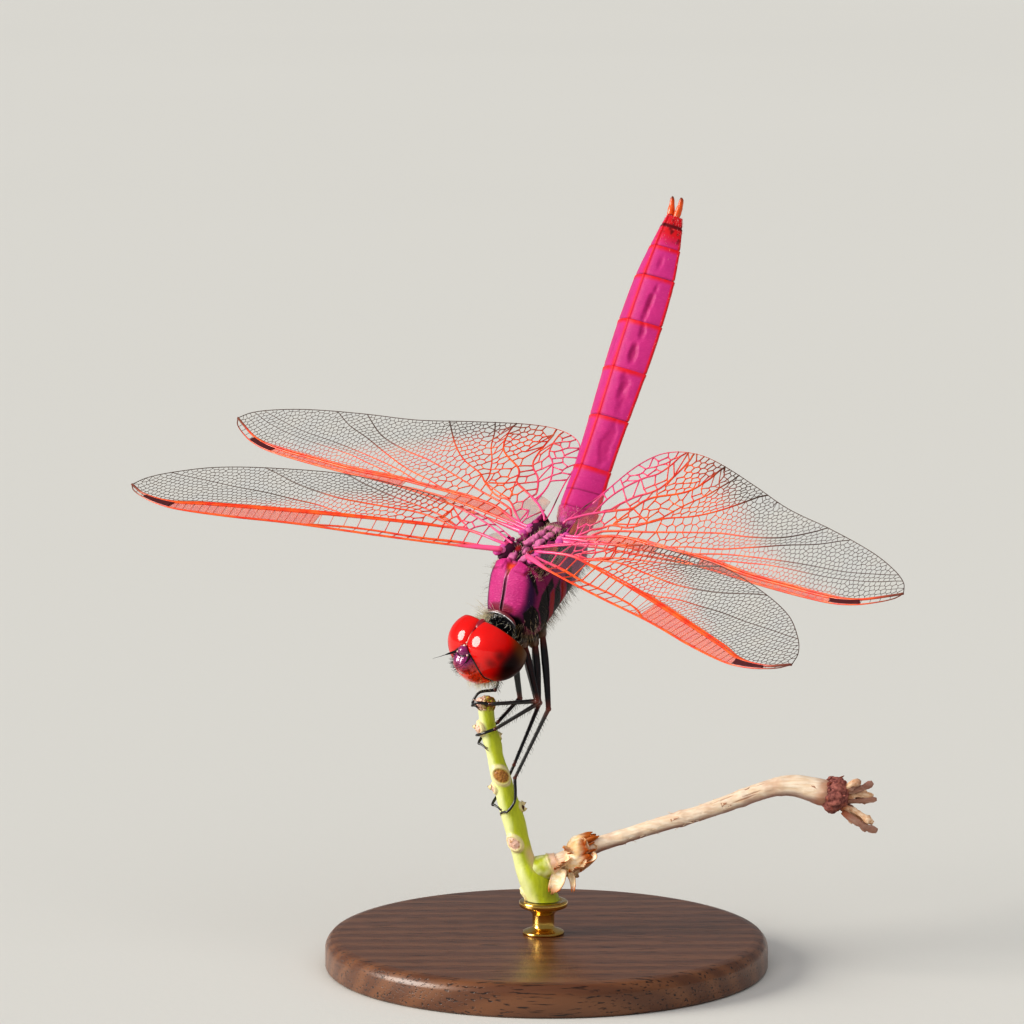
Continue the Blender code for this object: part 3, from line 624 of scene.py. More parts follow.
# Simple eyes on and below the vertex: centre, radius
OCELLI = (((1.14, 0.02, 2.26), 0.09), ((0.86, 0.03, 2.27), 0.06), ((1.62, 0.50, 1.93), 0.08),
          ((1.62, -0.50, 1.93), 0.08))
ANTENNA = ((1.42, 0.52, 1.72), (1.62, 0.66, 1.86), (1.86, 0.82, 1.97), (2.08, 0.94, 2.08), (2.35, 1.05, 2.24),
           (2.70, 1.17, 2.46), (3.12, 1.29, 2.78))
# Back of the head
REAR_CENTRE, REAR_RADII = (-1.12, 0.0, 0.25), (0.32, 2.20, 1.70)

SEGMENT_ENDS = (-0.75, 0.0, 0.85, 4.0, 7.9, 11.55, 15.2, 18.7, 21.0, 22.65, 23.45)
ABDOMEN_WIDTH = (
    (-0.75, 1.40), (0.0, 1.74), (0.85, 1.92), (2.6, 1.90), (4.0, 1.86), (6.0, 1.90), (7.9, 1.98),
    (11.55, 2.16), (13.5, 2.22), (15.2, 2.20), (17.0, 2.13), (18.7, 1.98), (21.0, 1.52), (22.65, 1.04),
    (23.45, 0.74),
)
ABDOMEN_DEPTH = (
    (-0.75, 0.80), (0.85, 0.75), (2.5, 0.68), (4.0, 0.62), (7.9, 0.56), (15.2, 0.55), (18.7, 0.56),
    (21.0, 0.62), (23.45, 0.80),
)
# Dried hollows of the back: distance, sideways, half length, half width, depth
HOLLOWS = (
    (10.3, -1.10, 1.0, 0.34, 0.15), (9.3, -1.35, 1.6, 0.36, 0.10), (13.0, -1.10, 0.9, 0.30, 0.17),
    (14.4, -1.25, 0.7, 0.24, 0.12), (16.6, -1.08, 1.2, 0.24, 0.19), (5.9, -1.20, 1.7, 0.42, 0.09),
    (13.2, 0.95, 1.0, 0.30, 0.08), (17.8, -1.2, 0.5, 0.22, 0.10), (19.8, -0.85, 0.7, 0.22, 0.07),
)
CERCUS = ((-0.35, 0.30, 0.10, 0.22), (0.0, 0.31, 0.12, 0.26), (0.45, 0.38, 0.16, 0.25), (0.9, 0.44, 0.22, 0.19),
          (1.25, 0.47, 0.32, 0.15), (1.42, 0.44, 0.40, 0.06))
EPIPROCT = ((-0.35, 0.0, -0.22, 0.17), (0.0, 0.0, -0.24, 0.18), (0.4, 0.0, -0.22, 0.20), (0.95, 0.0, -0.10, 0.06))

# Wing outlines and lengthwise veins: (part of the length, mm ahead of or behind the middle line).
# A vein ends at the front edge, at the hind edge or at the tip.
FORE_WING = {
    "length": 29.9,
    "leading": (
        (0.0, 0.35), (0.10, 0.80), (0.30, 1.18), (0.50, 1.42), (0.58, 1.60), (0.70, 1.95), (0.84, 2.12),
        (0.90, 1.85), (0.95, 1.30), (0.985, 0.65), (1.0, 0.0),
    ),
    "trailing": (
        (0.0, -1.70), (0.04, -2.50), (0.10, -3.55), (0.20, -4.60), (0.32, -5.35), (0.50, -5.75),
        (0.68, -5.05), (0.83, -3.90), (0.93, -2.30), (0.98, -1.05), (1.0, 0.0),
    ),
    "veins": (
        ("front", 0.075, ((0.0, -0.10), (0.11, -0.05), (0.21, 0.25), (0.34, 0.36), (0.44, 0.70), (0.50, 1.42))),
        ("tip", 0.125, ((0.0, -0.45), (0.10, -1.25), (0.18, -1.15), (0.28, -0.88), (0.37, -0.64), (0.50, -0.22),
                        (0.64, 0.35), (0.78, 0.95), (0.865, 1.35), (0.95, 0.95), (1.0, 0.0))),
        ("hind", 0.055, ((0.37, -0.64), (0.43, -0.95), (0.48, -1.35), (0.52, -1.58), (0.58, -1.72), (0.66, -1.95),
                         (0.75, -2.0), (0.82, -2.15), (0.93, -2.30))),
        ("hind", 0.06, ((0.14, -1.25), (0.196, -1.98), (0.26, -2.4), (0.33, -2.42), (0.40, -2.45), (0.47, -2.55),
                        (0.54, -2.95), (0.60, -3.45), (0.66, -4.2), (0.71, -4.88))),
        ("hind", 0.055, ((0.12, -1.45), (0.18, -2.6), (0.25, -3.4), (0.35, -4.2), (0.45, -5.2), (0.50, -5.75))),
        ("hind", 0.055, ((0.0, -1.15), (0.02, -1.5), (0.08, -2.6), (0.15, -3.6), (0.19, -4.1), (0.23, -4.85))),
    ),
    "triangle": ((0.105, -1.44), (0.194, -2.39), (0.177, -3.70)),
    "stigma": (0.862, 0.945),
    "stain": (0.05, -1.9),
    "sign": 1.0,
}
HIND_WING = {
    "length": 29.2,
    "leading": (
        (0.0, 0.25), (0.20, 0.28), (0.42, 0.50), (0.60, 1.22), (0.75, 1.72), (0.84, 1.88), (0.90, 1.65),
        (0.95, 1.12), (0.985, 0.55), (1.0, 0.0),
    ),
    "trailing": (
        (0.0, -2.00), (0.015, -3.90), (0.032, -6.00), (0.055, -7.90), (0.09, -9.30), (0.13, -9.90),
        (0.18, -10.05), (0.23, -9.85), (0.30, -9.20), (0.42, -7.75), (0.55, -6.10), (0.70, -4.80), (0.85, -3.25),
        (0.94, -1.90), (0.985, -0.85), (1.0, 0.0),
    ),
    "veins": (
        ("front", 0.075, ((0.0, 0.02), (0.05, -0.05), (0.226, -0.06), (0.35, 0.16), (0.43, 0.53))),
        ("tip", 0.125, ((0.0, -0.30), (0.04, -0.40), (0.144, -1.10), (0.26, -0.80), (0.367, -0.40), (0.43, -0.20),
                        (0.57, 0.60), (0.685, 1.0), (0.826, 1.40), (0.90, 1.15), (1.0, 0.0))),
        ("hind", 0.05, ((0.44, -0.26), (0.53, -0.32), (0.617, -0.5), (0.79, -0.3), (0.90, -0.55), (0.975, -1.1))),
        ("hind", 0.055, ((0.36, -0.45), (0.465, -1.0), (0.576, -1.2), (0.69, -1.25), (0.81, -1.15), (0.90, -1.4),
                         (0.955, -1.6))),
        ("hind", 0.055, ((0.28, -0.78), (0.331, -0.88), (0.435, -1.25), (0.522, -1.80), (0.616, -2.6),
                         (0.70, -3.2),
                         (0.77, -4.1))),
        ("hind", 0.06, ((0.07, -0.75), (0.095, -1.37), (0.215, -1.95), (0.41, -2.90), (0.50, -3.0), (0.595, -3.5),
                        (0.69, -4.9))),
        ("hind", 0.055, ((0.03, -0.40), (0.06, -0.95), (0.106, -1.84), (0.159, -2.0), (0.209, -2.58),
                         (0.246, -3.24),
                         (0.319, -3.9), (0.383, -5.0), (0.47, -7.15))),
        ("hind", 0.05, ((0.209, -2.60), (0.235, -3.9), (0.265, -5.13), (0.303, -6.33), (0.330, -7.6),
                        (0.355, -8.6))),
        ("hind", 0.06, ((0.0, -1.85), (0.01, -2.17), (0.047, -2.68), (0.097, -3.24), (0.138, -3.75),
                        (0.152, -4.5),
                        (0.172, -5.05), (0.24, -5.92), (0.267, -6.63), (0.29, -8.0), (0.30, -9.2))),
        ("hind", 0.055, ((0.060, -2.83), (0.075, -3.82), (0.107, -5.02), (0.160, -6.29), (0.178, -8.06),
                         (0.188, -10.0))),
        ("hind", 0.045, ((0.040, -2.65), (0.050, -4.19), (0.071, -5.50), (0.105, -6.72), (0.137, -7.44),
                         (0.155, -8.6), (0.165, -10.0))),
    ),
    "triangle": ((0.209, -2.58), (0.112, -2.05), (0.140, -3.68)),
    "stigma": (0.825, 0.905),
    "stain": (0.10, -3.4),
    "sign": -1.0,
}
# Seeds of one wing's net, with those mirrored across its edge
MOST_SEEDS = 6000
# Each wing: pattern, hinge, side (+1 left, -1 right), sweep, dihedral, pitch
WINGS = {
    "wing_fore_left": (FORE_WING, (0.0, 1.62, 0.05), 1, 14.0, 7.0, 2.0),
    "wing_fore_right": (FORE_WING, (0.0, -1.62, 0.05), -1, 13.3, 7.8, 7.1),
    "wing_hind_left": (HIND_WING, (-3.08, 1.72, -0.55), 1, -3.1, 2.3, -4.8),
    "wing_hind_right": (HIND_WING, (-3.08, -1.72, -0.55), -1, -3.9, 3.9, 1.0),
}

# Legs on the insect: hip, knee, ankle and the foot's two points
LEGS = {
    "leg_fore_left": ((2.90, 0.80, -6.35), (5.65, 3.31, -8.44), (7.06, -0.02, -8.52),
                      (7.45, -0.88, -8.32), (7.51, -1.39, -8.67)),
    "leg_mid_left": ((2.10, 1.05, -6.75), (5.20, 2.87, -9.13), (7.73, 0.39, -10.22),
                     (8.30, -0.26, -10.32), (8.36, -0.98, -10.67)),
    "leg_hind_left": ((1.20, 1.15, -6.55), (4.87, 3.33, -9.82), (8.66, 1.77, -13.72),
                      (9.65, 2.13, -14.89), (10.37, 1.84, -15.44)),
    "leg_fore_right": ((2.90, -0.80, -6.35), (4.25, -0.93, -7.85), (5.51, -0.78, -8.67),
                       (6.30, -1.55, -8.47), (6.98, -1.81, -8.88)),
    "leg_mid_right": ((2.10, -1.05, -6.75), (3.49, -0.80, -11.08), (6.34, -0.66, -11.00),
                      (7.05, -1.20, -11.29), (8.26, -1.14, -11.46)),
    "leg_hind_right": ((1.20, -1.15, -6.55), (2.70, 0.20, -11.90), (7.16, 0.40, -14.14),
                       (8.25, 0.04, -15.16), (9.91, 0.02, -15.59)),
}

# Stem: height, x of its middle, radius
STEM = (
    (4.90, -0.23, 1.20), (5.80, -0.62, 1.22), (6.90, -1.10, 1.10), (7.90, -1.60, 0.82), (9.20, -2.00, 0.78),
    (10.70, -2.36, 0.82), (12.00, -2.75, 0.80), (13.00, -3.02, 0.72), (14.20, -3.36, 0.72), (15.55, -3.72, 0.58),
    (16.40, -3.92, 0.66), (17.30, -4.14, 0.60), (18.20, -4.30, 0.55), (18.85, -4.36, 0.58), (19.25, -4.37, 0.72),
    (19.62, -4.35, 0.60), (19.80, -4.34, 0.25),
)
# Leaf scars: height, degrees round the stem from +X, size, how far it stands out, finish
STEM_SCARS = (
    (17.50, 186.0, 0.60, 0.46, "pinkish"), (16.90, 20.0, 0.30, 0.20, "pale"), (14.15, 275.0, 0.74, 0.20, "cork"),
    (13.10, 190.0, 0.42, 0.32, "pinkish"), (11.75, 355.0, 0.36, 0.34, "dark"),
    (9.20, 242.0, 0.66, 0.30, "pinkish"),
    (5.30, 180.0, 0.50, 0.30, "pale"),
)
STEM_THORNS = ((17.62, 186, 0.16), (13.2, 186, 0.20), (11.95, 2, 0.26), (11.6, 352, 0.16), (17.0, 22, 0.16))
TWIG = (
    (-0.10, -0.03, 7.30, 0.62), (1.60, -0.03, 8.02, 0.62), (3.10, 0.08, 8.72, 0.58), (5.20, 0.20, 9.42, 0.52),
    (8.10, 0.42, 10.30, 0.53), (11.10, 0.64, 11.16, 0.56), (14.00, 0.85, 12.16, 0.60), (16.50, 1.00, 12.98, 0.66),
    (17.90, 1.03, 13.06, 0.78), (19.10, 1.00, 12.82, 0.88), (20.00, 0.97, 12.58, 0.96),
    (20.30, 0.97, 12.52, 0.90),
)
TWIG_COLLAR = (
    (19.95, 0.97, 12.58, 0.80), (20.15, 0.97, 12.55, 1.00), (20.50, 0.97, 12.48, 1.26),
    (21.10, 0.97, 12.36, 1.28),
    (21.50, 0.97, 12.25, 0.90), (21.75, 0.97, 12.20, 0.55),
)
BRACT = ((0.0, 0.80, -0.15), (0.6, 1.40, -0.20), (1.5, 1.70, -0.07), (2.3, 1.25, 0.22))
BRACT_START = (1.15, 7.80)
SPLINTERS = (
    (23.10, 0.50, 13.15, 0.36), (23.95, 0.95, 12.00, 0.42), (23.85, 0.60, 10.15, 0.42),
    (22.60, 1.50, 10.70, 0.36),
)
SPLINTER_ROOT = (21.40, 0.97, 12.25)


# ---- Stand, stem and twig ----


def turned_body(shape, profile, columns, centre=(0.0, 0.0)):
    """Adds a body of revolution through (radius, height) points, with its corners rounded a little."""
    points = []
    for (r0, z0), (r1, z1) in zip(profile, profile[1:]):
        run = math.hypot(r1 - r0, z1 - z0)
        for t in (min(0.45, 0.06 / run), 0.5, max(0.55, 1 - 0.06 / run)):
            points.append((r0 + t * (r1 - r0), z0 + t * (z1 - z0)))
    radius, height = np.array(points).T
    turn = turns(columns)
    rings = np.stack([centre[0] + np.outer(radius, np.cos(turn)), centre[1] + np.outer(radius, np.sin(turn)),
                      np.outer(height, np.ones(columns))], -1)
    add_body(shape, rings)


def build_stand():
    """A turned walnut base, and a brass rod with a foot and a cup."""
    low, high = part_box("stand_base")
    radius, top = high.x / MM, high.z / MM
    base = Shape()
    turned_body(base, ((0.3, 0.0), (radius - 0.2, 0.0), (radius, 0.2), (radius, top - 0.75),
                       (radius - 0.12, top - 0.45),
                       (radius - 0.40, top - 0.12), (radius - 0.95, top), (0.3, top)), 192)
    base.piece("walnut_base", oiled_walnut(), "stand_wood", ("stand_base",))
    low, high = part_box("stand_rod")
    centre = (low.x + high.x) / 2 / MM, (low.y + high.y) / 2 / MM
    cup, foot, bottom, top = (high.x - low.x) / 2 / MM, 1.5, low.z / MM - 0.05, high.z / MM
    rod = Shape()
    turned_body(rod, ((0.1, bottom), (foot, bottom), (foot, bottom + 0.22), (1.15, bottom + 0.36),
                      (0.8, bottom + 0.5), (0.8, top - 0.95), (1.05, top - 0.72), (cup, top - 0.40), (cup, top),
                      (1.32, top + 0.02), (1.28, top - 0.12), (0.1, top - 0.12)), 96, centre)
    rod.piece("brass_rod", lacquered_brass(), "stand_brass", ("stand_rod",))


def stem_surface(height, angle):
    """Points on the stem's skin at heights and angles round it, and how strongly each scar shows there."""
    middle = smooth_between([(z, x) for z, x, _ in STEM], height)
    radius = smooth_between([(z, r) for z, _, r in STEM], height)
    swell, scars = np.zeros(np.shape(height)), []
    for scar_height, turn, size, out, _ in STEM_SCARS:
        around = (np.degrees(angle) - turn + 180.0) % 360.0 - 180.0
        away = np.hypot(np.radians(around) * radius, height - scar_height) / size
        swell = swell + out * np.maximum(0.0, 1.0 - away * away)
        scars.append(away)
    radius = radius + swell
    return np.stack([middle + radius * np.cos(angle), radius * np.sin(angle), height], -1), scars


def on_stem(height, angle):
    """One point on the stem's skin."""
    return stem_surface(np.array(height), np.array(angle))[0]


def build_stem():
    """The cut stem: waxy green skin with corky leaf scars, thorny stipules and a torn tip."""
    columns = 150
    height = np.concatenate([np.linspace(4.88, 18.8, 360), np.linspace(18.84, 19.80, 60)])
    turn = turns(columns)
    height, turn = np.meshgrid(height, turn, indexing="ij")
    rings, scars = stem_surface(height, turn)
    rough = grain(rings * (1, 1, 0.45), 0.5)
    fine = grain(rings, 0.16, 7.0)
    tip = ease(18.75, 19.05, height)
    sink = 0.035 * rough + tip * (0.11 * fine + 0.09 * grain(rings, 0.35, 3.0))
    lit_side = np.cos(turn - math.radians(205))
    values = {key: np.zeros(height.shape) for key in ("pale", "pinkish", "rim", "cork", "dark")}

    def mark(key, amount):
        values[key] = np.maximum(values[key], amount)

    # The side towards the key light is painted pale: painted light
    values["pale"] = 0.8 * ease(0.40, 0.98, lit_side + 0.16 * rough)
    for (at, angle, size, out, finish), away in zip(STEM_SCARS, scars):
        face = ease(0.78, 0.62, away + 0.06 * rough)
        edge = ease(0.60, 0.78, away) * ease(1.25, 0.95, away)
        sink = sink + 0.06 * edge - 0.05 * face + 0.035 * face * fine
        mark(finish, face)
        mark("rim", edge * 0.85)
        if finish != "cork":
            mark("cork", 0.75 * ease(0.1, 0.5, fine) * face)
    left = ease(0.2, -0.5, np.cos(turn) + 0.3 * rough)
    mark("pinkish", tip * left)
    mark("cork", tip * (1 - left) * ease(-0.6, 0.2, fine))
    mark("dark", tip * ease(0.25, 0.6, grain(rings, 0.3, 9.0)))
    base = ease(6.9, 7.4, height) * ease(9.2, 8.4, height) * ease(0.0, 0.7, np.cos(turn))
    mark("pinkish", 0.6 * base)
    rings = rings + outward(rings) * sink[..., None]
    stem = Shape()
    add_body(stem, rings, **values)
    # Stipule thorns beside the scars, pointing outwards with dark tips
    for at, angle, size in STEM_THORNS:
        angle = math.radians(angle)
        root = on_stem(at, angle)
        out = np.array([math.cos(angle), math.sin(angle), 0.15])
        t = np.linspace(-0.35, 1.0, 8)[:, None]
        path = root + out * t * size + np.array([0, 0, 0.25 * size]) * t * t
        add_tubes(stem, path[None], size * np.array((1.1, 1.0, 0.85, 0.66, 0.46, 0.28, 0.14, 0.04))[None], 14,
                  (0, 0, 1), pinkish=0.6, dark=ease(0.55, 1.0, t.T), rim=0.3)
    # The swollen socket of the dead twig
    t = np.linspace(0, 3, 40)
    socket = smooth_between(((0, -1.30, 0.0, 6.85, 0.80), (1, -0.55, -0.02, 7.15, 0.96),
                             (2, 0.20, -0.03, 7.46, 0.84),
                             (3, 0.80, -0.03, 7.70, 0.70)), t)
    rings = rings_along(socket[:, :3], socket[:, 3], 80)
    bumps = grain(rings, 0.4, 2.0)
    swell = 0.05 * bumps + 0.07 * ease(0.05, 0.0, abs(t - 2.15) - 0.05)[:, None]
    rings = rings + outward(rings) * swell[..., None]
    add_body(stem, rings, pale=0.75 * ease(-0.5, 0.4, bumps),
             pinkish=ease(1.9, 2.5, t[:, None] + 0.3 * bumps) * 0.9,
             rim=0.5 * ease(0.25, 0.05, abs(t[:, None] - 2.1)))
    # Loose flakes round the torn tip
    rng = np.random.default_rng(41)
    for k in range(26):
        angle, at = rng.uniform(0, 2 * math.pi), rng.uniform(18.85, 19.5)
        root = on_stem(at, angle)
        out = np.array([math.cos(angle), math.sin(angle), rng.uniform(0.2, 1.2)])
        side = np.cross(out, (0, 0, 1.0))
        size = rng.uniform(0.12, 0.26)
        u, v = np.meshgrid(np.linspace(0, 1, 5), np.linspace(-0.5, 0.5, 4), indexing="ij")
        flake = root + u[..., None] * out * size + v[..., None] * side * size * (1 - 0.5 * u[..., None])
        flake = flake + (0, 0, 0.05) * np.sin(3 * u[..., None] + k)
        add_sheet(stem, flake, 0.03, pinkish=float(math.cos(angle) < 0.2), cork=float(math.cos(angle) >= 0.2))
    stem.piece("living_stem", green_stem(chosen_colours()), "green_stem", ("perch_stem",))


def add_sheet(shape, grid, thickness, wrap=False, matrix=None, uv=None, **values):
    """Adds a thin closed sheet over an open grid of points."""
    rows, columns = grid.shape[:2]
    along = np.gradient(grid, axis=0)
    around = (np.roll(grid, -1, 1) - np.roll(grid, 1, 1)) if wrap else np.gradient(grid, axis=1)
    offset = unit(np.cross(along, around)) * thickness / 2
    top, bottom = (grid + offset).reshape(-1, 3), (grid - offset).reshape(-1, 3)
    index = np.arange(rows * columns).reshape(rows, columns)
    after = np.roll(index, -1, axis=1) if wrap else index[:, 1:]
    here = index if wrap else index[:, :-1]
    quads = quads_between(here, after)
    half = rows * columns
    faces = [quads, quads[:, ::-1] + half]
    rims = [(after[0], here[0]), (here[-1], after[-1])]
    if not wrap:
        rims += [(index[:-1, 0], index[1:, 0]), (index[1:, -1], index[:-1, -1])]
    faces += [np.stack([a, b, b + half, a + half], -1) for a, b in rims]
    points = np.concatenate([top, bottom])
    if matrix is not None:
        points = carried(points, matrix)
    if uv is None:
        u, v = np.meshgrid(np.linspace(0.02, 0.48, columns), np.linspace(0.02, 0.98, rows))
        uv = np.stack([u, v], -1).reshape(-1, 2)
        uv = np.concatenate([uv, uv + (0.5, 0.0)])
    spread = {key: np.tile(np.broadcast_to(np.asarray(v, float), (rows, columns)).ravel(), 2)
              for key, v in values.items()}
    shape.add(points, faces, uv=uv, **spread)


def rings_along(path, radii, columns, up=(0.0, 1.0, 0.0)):
    """Circles across a smooth path, as rows of points."""
    ahead = unit(np.gradient(path, axis=0))
    across = unit(np.cross(ahead, np.asarray(up, float)))
    other = np.cross(across, ahead)
    turn = turns(columns)
    ring = np.cos(turn)[:, None] * across[:, None] + np.sin(turn)[:, None] * other[:, None]
    return path[:, None] + np.asarray(radii)[:, None, None] * ring


def build_twig():
    """The dead side twig with its papery bract, dark collar and frayed end."""
    x = np.linspace(-0.10, 20.28, 420)
    along = smooth_between(TWIG, x)
    path = np.column_stack([x, along[:, 0], along[:, 1]])
    rings = rings_along(path, along[:, 2], 110)
    turn = turns(110)
    fibre = grain(stacked(x[:, None] * 0.16, np.cos(turn) * 1.6, np.sin(turn) * 1.6), 0.35)
    coarse = grain(rings * (0.35, 1, 1), 0.7, 5.0)
    crack = ease(0.30, 0.45, fibre) * ease(0.0, 0.4, grain(rings * (0.3, 1, 1), 1.3, 2.0))
    knots = sum(0.10 * hump(x - at, 0.30) for at in (5.4, 9.7, 14.1, 16.9))[:, None]
    scales = 0.05 * ease(0.1, 0.3, grain(rings * (0.8, 1, 1), 0.5, 11.0))
    sink = 0.014 * fibre + 0.014 * coarse - 0.035 * crack + knots * (0.5 + 0.4 * coarse) + 0.4 * scales
    # The underside is painted darker: painted shade
    down = -(rings - path[:, None])[..., 2]
    under = ease(0.1, 0.85, down / along[:, 2][:, None] + 0.25 * coarse)
    rings = rings + outward(rings) * sink[..., None]
    twig = Shape()
    broken = 0.55 * ease(19.2, 20.1, x[:, None] + 0.5 * coarse)
    add_body(twig, rings, under=under * 0.75, edge=np.maximum(crack * 0.6, broken))
    rng = np.random.default_rng(17)
    for k in range(46):
        at, angle = rng.uniform(3.2, 19.4), rng.uniform(0, 2 * math.pi)
        row = int((at + 0.10) / 20.38 * 419)
        root = rings[row, int(angle / (2 * math.pi) * 109)]
        out = unit(root - path[row])
        lie = unit(path[min(row + 3, 419)] - path[row]) * rng.choice((-1, 1))
        size, wide = rng.uniform(0.18, 0.55), rng.uniform(0.05, 0.12)
        u, v = np.meshgrid(np.linspace(-0.3, 1, 6), np.linspace(-1, 1, 4), indexing="ij")
        u, v = u[..., None], v[..., None]
        lift = 0.10 + 0.5 * rng.random()
        flake = root - out * 0.02 + lie * u * size + np.cross(out, lie) * v * wide * (1.1 - u)
        flake = flake + out * size * lift * u * u
        add_sheet(twig, flake, 0.025, edge=float(rng.random() < 0.35) * 0.7)
    bark = dry_bark("weathered_twig_bark", "#EED2B2", "#FCEAD2", "#D0A68C")
    twig.piece("dead_twig", bark, "dead_twig", ("perch_twig",))

    bract = Shape()
    build_bract(bract)
    paper = dry_bark("papery_bract", "#F4DCAC", "#FFF4DC", "#D8984C", 2.0, 0.03, "#B8601C")
    bract.piece("papery_bract", paper, "dead_twig", ("perch_bract",))

    t = np.linspace(0, 1, 60)
    path = through(TWIG_COLLAR, t)
    rings = rings_along(path[:, :3], path[:, 3], 96)
    ragged = grain(rings * (0.35, 1, 1), 0.32)
    frayed = 0.14 * ragged + 0.16 * grain(rings, 0.7, 9.0) + 0.05 * grain(rings, 0.14, 4.0)
    rings = rings + outward(rings) * frayed[..., None]
    collar = Shape()
    add_body(collar, rings, edge=ease(0.25, 0.6, ragged) * 0.5)
    for k in range(40):
        angle, at = 2 * math.pi * k / 40 + rng.uniform(-0.1, 0.1), rng.uniform(20.2, 21.3)
        out = np.array([0.0, math.cos(angle), math.sin(angle)])
        t = np.linspace(0, 1, 6)[:, None]
        size = rng.uniform(0.35, 0.75)
        start = np.array([at, 0.97, 12.42]) + out * 1.05
        lie = np.array([rng.uniform(-0.3, 1.0), 0, 0])
        path = start + size * (t * (0.35 * out + lie) + t * t * 0.15 * rng.standard_normal(3))
        radii = rng.uniform(0.07, 0.13) * np.array((1, 0.95, 0.85, 0.7, 0.45, 0.12))
        add_tubes(collar, path[None], radii, 7,
                  (0.1, out[2], -out[1]), edge=rng.uniform(0, 0.6))
    dark = dry_bark("scorched_collar_fibre", "#6E3A36", "#A8685C", "#3A1A20", 1.2, 0.05)
    collar.piece("twig_collar", dark, "dead_twig", ("perch_twig_collar",))

    fray = Shape()
    root = np.array(SPLINTER_ROOT)
    for x, y, z, radius in SPLINTERS:
        for k in range(4):
            tip = np.array([x, y, z]) + rng.uniform(-0.45, 0.45, 3)
            tip[0] = min(tip[0], 23.85) - 0.25 * k
            start = root + np.array([0.0, (y - 0.97) * 0.8, (z - 12.2) * 0.42]) + rng.uniform(-0.3, 0.3, 3)
            bend = np.array([0, *rng.uniform(-0.35, 0.35, 2)])
            t = np.linspace(0, 1, 12)[:, None]
            path = start + (tip - start) * t + bend * 4 * t * (1 - t)
            wide = radius * rng.uniform(0.50, 0.80) * np.array(
                (0.7, 0.75, 0.8, 0.85, 0.85, 0.8, 0.8, 0.85, 0.95, 1.05, 0.95, 0.55))
            wide = wide * (1 + 0.12 * rng.standard_normal(12))
            add_tubes(fray, path[None], wide[None], 16, (0.05, 1, 0.1), flat=0.6, edge=ease(0.3, 0, t.T) * 0.8,
                      under=float(k % 3 == 0) * 0.7)
    tan = dry_bark("frayed_wood_fibre", "#D8A880", "#F0D0B0", "#8A5440", 1.5, 0.05)
    fray.piece("frayed_end", tan, "dead_twig", tuple("perch_splinter_%d" % n for n in (1, 2, 3, 4)))


def build_bract(shape):
    """A torn papery cup of three layers round the twig's root, with curled and hanging lobes."""
    for layer in range(3):
        rows, columns = 30, 110
        s, turn = np.meshgrid(np.linspace(0, 1, rows), turns(columns), indexing="ij")
        tear = grain(np.stack([np.cos(turn) * 2.0, np.sin(turn) * 2.0, turn * 0 + layer * 3.1], -1), 0.55)
        reach = (2.9 - 0.4 * layer) * (0.72 + 0.45 * tear)
        x = BRACT_START[0] - 0.1 + 0.12 * layer + s * reach
        out = smooth_between([(a, r) for a, r, _ in BRACT], s * 2.3) * (0.62 + 0.15 * layer)
        curl = ease(0.6, 1.0, s) * (0.30 * tear + 0.10 * np.sin(5 * turn + layer * 2))
        out = np.minimum(out * 0.9 + curl, 1.45) + 0.05 * grain(np.stack([x, turn, s], -1), 0.5)
        z = BRACT_START[1] + 0.42 * (x - BRACT_START[0]) + out * np.sin(turn)
        grid = np.stack([x, out * np.cos(turn) * 0.85, z], -1)
        add_sheet(shape, grid, 0.06, wrap=True, edge=ease(0.55, 0.95, s + 0.15 * tear),
                  under=0.2 * ease(0.3, 0, s))
    lobes = (
        ((1.00, -0.55, 7.3), (-0.18, -0.25, -1.0), 2.1, 0.27, 0.9),
        ((1.75, -0.6, 7.1), (0.35, -0.2, -1.0), 1.5, 0.16, 0.8),
        ((3.00, -0.6, 8.2), (0.55, -0.45, -0.8), 1.5, 0.55, 2.0), ((2.35, -0.8, 7.8), (0.2, -0.6, -0.9),
                                                                   1.4, 0.50, 1.8),
        ((2.60, -0.4, 9.1), (0.8, -0.35, 0.25), 1.1, 0.45, 1.8), ((1.50, -0.4, 8.6), (0.5, -0.6, 0.7),
                                                                  0.9, 0.50, 1.6),
        ((3.30, -0.2, 8.9), (0.9, -0.2, -0.5), 0.9, 0.40, 2.2), ((1.30, -0.8, 7.9), (0.1, -0.8, -0.6),
                                                                 1.2, 0.55, 1.4),
        ((1.50, 0.6, 7.2), (0.1, 0.35, -1.0), 1.7, 0.40, 1.0), ((2.60, 0.7, 8.0), (0.5, 0.6, -0.7),
                                                                1.4, 0.50, 1.8),
        ((2.10, 0.7, 8.6), (0.3, 0.8, 0.4), 1.1, 0.50, 1.6), ((3.10, 0.4, 8.6), (0.8, 0.5, -0.3), 1.0, 0.45, 2.0),
    )
    for start, out, size, wide, curl in lobes:
        start, out = np.array(start), unit(np.array(out))
        side = unit(np.cross(out, (0.35, 1.0, 0.2)))
        lift = unit(np.cross(side, out))
        lift = lift * np.sign(lift[1] * start[1] + 1e-6)
        u, v = np.meshgrid(np.linspace(0, 1, 22), np.linspace(-1, 1, 14), indexing="ij")
        torn = 0.40 * grain(np.stack([u * 0.0, v * 2.0, u * 0.0 + size], -1), 0.4)
        u, v = (u * (1 + torn))[..., None], v[..., None]
        lobe = start + size * (np.sin(u * curl) / curl * out + (1 - np.cos(u * curl)) / curl * lift)
        lobe = lobe + side * v * size * wide * np.sqrt(np.maximum(0.08, 1 - (1.25 * u - 0.4) ** 2))
        lobe = lobe + lift * 0.16 * v * v
        lobe = lobe + 0.05 * grain(lobe, 0.3)[..., None]
        edge = 0.8 * ease(0.55, 1.0, u[..., 0]) + 0.5 * ease(0.7, 1.0, abs(v[..., 0]))
        add_sheet(shape, lobe, 0.05, edge=edge.clip(0, 1))


# ---- Thorax ----


